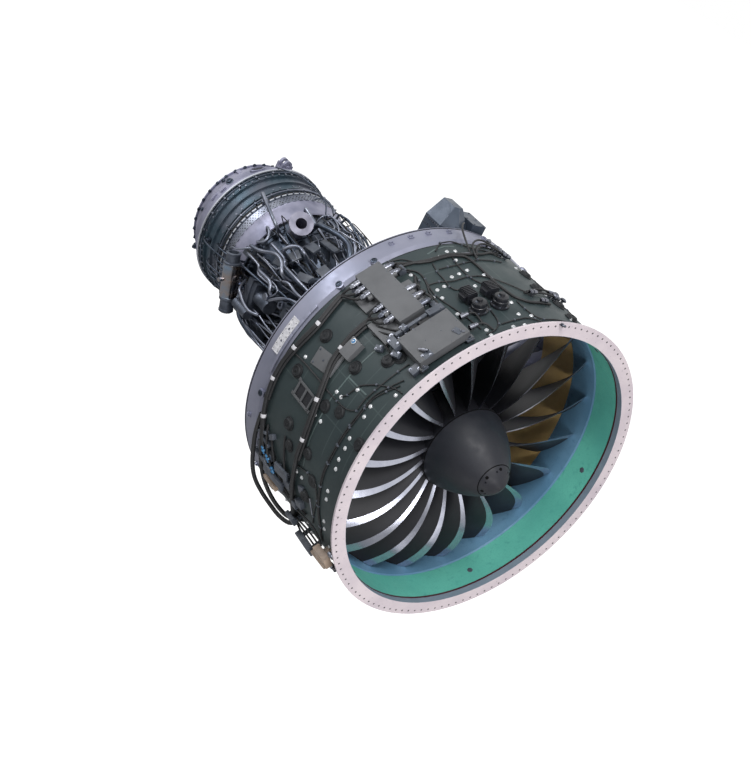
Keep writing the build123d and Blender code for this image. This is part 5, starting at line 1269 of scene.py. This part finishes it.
for name, count, size, material, heights in (
    ("plumbing_a", 44, 0.0062, pipe_metal, (0.02, 0.085)),
    ("plumbing_b", 30, 0.0088, dark_steel, (0.025, 0.11)),
    ("plumbing_c", 16, 0.0125, pipe_metal, (0.035, 0.105)),
    ("plumbing_d", 54, 0.004, black_rubber, (0.015, 0.1)),
):
    routes = []
    for number in range(count):
        clock = 360 * number / count + dice.uniform(-3, 3)
        first = dice.choice((1.34, 1.42, 1.5, 1.9, 2.04))
        last = dice.choice((1.9, 2.06, 2.3, 2.44)) if first < 1.8 else dice.choice((2.3, 2.38, 2.44))
        height = dice.uniform(*heights) + (0.03 if first < 1.8 else 0)
        if first > 1.8 and 28 < clock % 360 < 52:
            continue
        routes.append(stepped(clock, first, last, height))
    cables(name, routes, size, material)
routes = []
for number in range(26):
    clock, station = dice.uniform(0, 360), dice.choice((1.4, 1.48, 1.58, 1.7, 1.84, 1.96, 2.08, 2.32, 2.42))
    height, sweep = dice.uniform(0.015, 0.075), dice.uniform(18, 60)
    if 20 < (clock + sweep / 2) % 360 < 56 and station > 2:
        continue
    count = math.ceil(sweep / 8)
    arc = [(clock + sweep * step / count, station, height) for step in range(count + 1)]
    routes.append(core_points([(clock, station, 0), *arc, (clock + sweep, station, 0)]))
cables("plumbing_hoops", routes, 0.007, dark_steel)

# Blocks, valves, unions and brackets among the pipes
dull, bright = bmesh.new(), bmesh.new()
for number in range(110):
    clock, station = dice.uniform(0, 360), dice.uniform(1.34, 2.44)
    if station > 2.02 and (28 < clock < 54 or 84 < clock < 120):
        continue
    size = (dice.uniform(0.02, 0.055), dice.uniform(0.02, 0.055), dice.uniform(0.016, 0.05))
    place = seat(shell_radius(station) + 0.004, clock, station, spin=dice.uniform(-25, 25))
    Work.mesh = dull if number % 4 else bright
    block(place @ shift(0, 0, -0.006), size, 0.004)
    if number % 2:
        turned(place @ shift(0, 0, size[2] - 0.008), [
            (0.012, 0), (0.012, 0.012), (0.009, 0.014), (0.009, 0.026), (0.005, 0.029), (0, 0.029),
        ], 12)
    else:
        turned(place @ shift(size[0] / 2 - 0.004, 0, size[2] / 2) @ rotation(90, "Y"), [
            (0.01, 0), (0.01, 0.014), (0.0135, 0.016), (0.0135, 0.03), (0.007, 0.033), (0, 0.033),
        ], 6)
Work.mesh = dull
piece("core_blocks", cast_metal)
Work.mesh = bright
piece("core_fittings", pipe_metal)
for clock, station, height, lengthwise, across in (
    (40, 2.045, 0.145, 0.1, 0.07), (26, 2.03, 0.13, 0.16, 0.05), (54.8, 2.12, 0.055, 0.09, 0.09),
    (66, 2.17, 0.05, 0.12, 0.08), (89.7, 1.968, 0.2, 0.04, 0.04), (99, 1.86, 0.2, 0.09, 0.07),
    (84.3, 1.766, 0.33, 0.03, 0.05), (61, 1.9, 0.2, 0.14, 0.06), (81, 2.47, 0.05, 0.07, 0.06),
    (76, 2.43, 0.045, 0.05, 0.05), (66, 2.43, 0.04, 0.05, 0.04), (46, 1.82, 0.22, 0.1, 0.08),
    (70, 1.62, 0.2, 0.16, 0.06), (33, 1.6, 0.18, 0.16, 0.06), (100, 1.6, 0.2, 0.16, 0.06),
):
    radius = shell_radius(station) + height
    block(
        seat(radius - 0.02, clock, station, spin=dice.uniform(-20, 20)), (lengthwise, across, 0.022), 0.006,
    )
    turned(
        seat(shell_radius(station) - 0.005, clock, station),
        [(0.01, 0), (0.01, height - 0.01), (0, height - 0.01)], 10,
    )
piece("core_brackets", grey_block)
hexagon = seat(0.612, 84.3, 1.766)
turned(hexagon, [(0.03, -0.012), (0.03, 0.008), (0.016, 0.008), (0.014, -0.01)], 6)
cap = seat(0.585, 89.7, 1.968)
turned(cap, [(0.026, -0.03), (0.026, 0.008), (0.022, 0.013), (0.01, 0.015), (0, 0.015)], 24)
piece("hex_and_cap", pipe_metal)

# Top fairing: beads along its ridges, a row of screws and seams
def point(x, y, z):
    return Vector((x, y, z))


ridge_routes = [[point(0, 1.2005, 1.03), point(0, 1.2005, 1.058), point(0, 1.2915, 1.1865)]]
for side in (-1, 1):
    ridge_routes.append([
        point(side * 0.1195, 1.2625, 0.98), point(side * 0.1195, 1.2625, 1.06),
        point(side * 0.036, 1.3005, 1.1865), point(side * 0.036, 1.428, 1.1865),
    ])
    ridge_routes.append([
        point(side * 0.004, 1.2015, 1.06), point(side * 0.1195, 1.2625, 1.06),
        point(side * 0.1195, 1.428, 1.06),
    ])
cables("fairing_ridges", ridge_routes, 0.0026, fairing_paint)
for side in (-1, 1):
    for step in range(8):
        for height in (1.044, 1.005):
            spot = point(side * 0.1198, 1.275 + 0.02 * step, height)
            bolt(along(spot, spot + Vector((side, 0, 0))), 0.0042)
for across in (0.135, 0.215):
    for station in (1.235, 1.32, 1.405):
        spot = point(across, station, 1.1245)
        bolt(along(spot, spot + Vector((0, 0, 1))), 0.0055)
piece("fairing_bolts", bright_steel)

# Ribs on the front waist of the core
for name, station in (("waist_rib_1", 1.45), ("waist_rib_2", 1.65), ("waist_rib_3", 1.8)):
    lathe(name, [
        (0.235, station - 0.02), (0.31, station - 0.004), (0.31, station + 0.004), (0.235, station + 0.02),
    ], dark_steel, segments=96)

# Canister: an upper steel body with a collar, and a lower one
can_start, can_end = at(0.612, 89.5, 2.414), at(0.612, 114, 2.366)
can_run = (can_end - can_start).normalized()
turned(along(can_start + can_run * 0.012, can_start - can_run), [
    (0.06, 0), (0.064, 0.004), (0.064, 0.014), (0.058, 0.018), (0.05, 0.02), (0.05, 0.07), (0.054, 0.074),
    (0.054, 0.084), (0.044, 0.088), (0.036, 0.086), (0.034, 0.06), (0, 0.06),
], 32)
turned(along(can_end - can_run * 0.07, can_end), [
    (0.058, 0), (0.0605, 0.004), (0.0605, 0.016), (0.058, 0.02), (0.058, 0.064), (0.0605, 0.068),
    (0.0605, 0.078), (0.054, 0.086), (0.05, 0.088), (0.05, 0.15), (0.053, 0.152), (0.053, 0.168),
    (0.04, 0.178), (0, 0.18),
], 32)
piece("canister_ends", cast_metal)

# Painted shade as dark discs for the holes of the round port, and ridges on its duct
port_start, port_end = at(0.4, 40, 2.364), at(0.62, 39, 2.19)
port_place = along(port_start, port_end)
port_length = (port_end - port_start).length
for step in range(12):
    spin = rotation(30 * step + 15, "Z")
    turned(
        port_place @ spin @ shift(0.07, 0, port_length + 0.0005),
        [(0.0042, 0), (0.0042, 0.0008), (0, 0.0008)], 10,
    )
piece("port_hole_shade", shadow_hole)
turned(port_place @ shift(0, 0, port_length - 0.055), [
    (0.0525, 0), (0.056, 0.004), (0.0525, 0.01), (0.0525, 0.024), (0.056, 0.028), (0.0525, 0.034),
], 32)
piece("port_ridges", lilac_metal)


# Camera and lights
scene = bpy.context.scene
camera_data = bpy.data.cameras.new("camera")
camera_data.sensor_width = SENSOR
camera_data.lens = FOCAL_PIXELS / PICTURE_HEIGHT * SENSOR
camera_data.clip_end = 200
camera = bpy.data.objects.new("camera", camera_data)
right = Vector((0.7407827, -0.5177758, 0.4279593))
up = Vector((-0.0810712, 0.5635181, 0.8221161))
back = Vector((-0.6668346, -0.6437046, 0.3754677))
camera.matrix_world = shift(-7.23496, -5.73637, 3.93257) @ Matrix((right, up, back)).transposed().to_4x4()
scene.collection.objects.link(camera)
bpy.context.scene.camera = camera
scene.view_settings.view_transform = "Standard"

for name, place, aim, size, power, tint in (
    ("key", (-3.6, -3.4, 7.6), (0, 0.8, 0), 3.6, 470, (1, 0.985, 0.985)),
    ("side", (-5.5, 6, 5), (0, 2.2, 0), 3, 180, (0.95, 0.96, 1)),
    ("front", (-2.9, -7.4, 1.2), (0.3, 0.4, 0), 3, 215, (1, 0.975, 0.985)),
    ("low", (2.4, -5.6, -2.4), (0, 0, 0), 1.4, 60, (1, 0.95, 0.9)),
    ("under", (-2, -2, -4.2), (0, 1, 0), 4, 40, (1, 1, 1)),
):
    data = bpy.data.lights.new(name, "AREA")
    data.shape = "DISK"
    data.size = size
    data.energy = power
    data.color = tint
    made = bpy.data.objects.new(name, data)
    made.location = place
    made.rotation_euler = (Vector(aim) - Vector(place)).to_track_quat("-Z", "Y").to_euler()
    scene.collection.objects.link(made)

# The backdrop is white to the camera and in reflections, and soft light to everything else
world = bpy.data.worlds.new("studio")
world.use_nodes = True
scene.world = world
sky = Nodes(world.node_tree)
rays = sky.node("ShaderNodeLightPath").outputs
mirrored = sky.sum("MAXIMUM", rays["Is Glossy Ray"], rays["Is Transmission Ray"])
seen = sky.sum("MAXIMUM", rays["Is Camera Ray"], mirrored)
backdrop = world.node_tree.nodes["Background"].inputs
sky.feed(backdrop["Strength"], sky.ramp(seen, 0, 1, AMBIENT, 1))
sky.feed(backdrop["Color"], (255, 255, 255))

bmesh.ops.create_grid(Work.mesh, x_segments=1, y_segments=1, size=60)
floor_data = bpy.data.meshes.new("floor")
Work.mesh.to_mesh(floor_data)
Work.mesh.free()
floor = bpy.data.objects.new("floor", floor_data)
floor.location = (0, 0, FLOOR_HEIGHT)
scene.collection.objects.link(floor)
floor_look = bpy.data.materials.new("floor_white")
floor_look.use_nodes = True
ground = Nodes(floor_look.node_tree)
ground.tree.nodes.remove(ground.tree.nodes["Principled BSDF"])
matte = ground.node("ShaderNodeBsdfDiffuse")
matte.inputs["Color"].default_value = (0.55, 0.55, 0.55, 1)
rays = ground.node("ShaderNodeLightPath").outputs
glow = ground.node("ShaderNodeEmission", {"Strength": ground.times(rays["Is Camera Ray"], FLOOR_GLOW)})
both = ground.node("ShaderNodeAddShader", enumerate((matte.outputs[0], glow.outputs[0])))
ground.feed(ground.tree.nodes["Material Output"].inputs["Surface"], both.outputs[0])
floor_data.materials.append(floor_look)
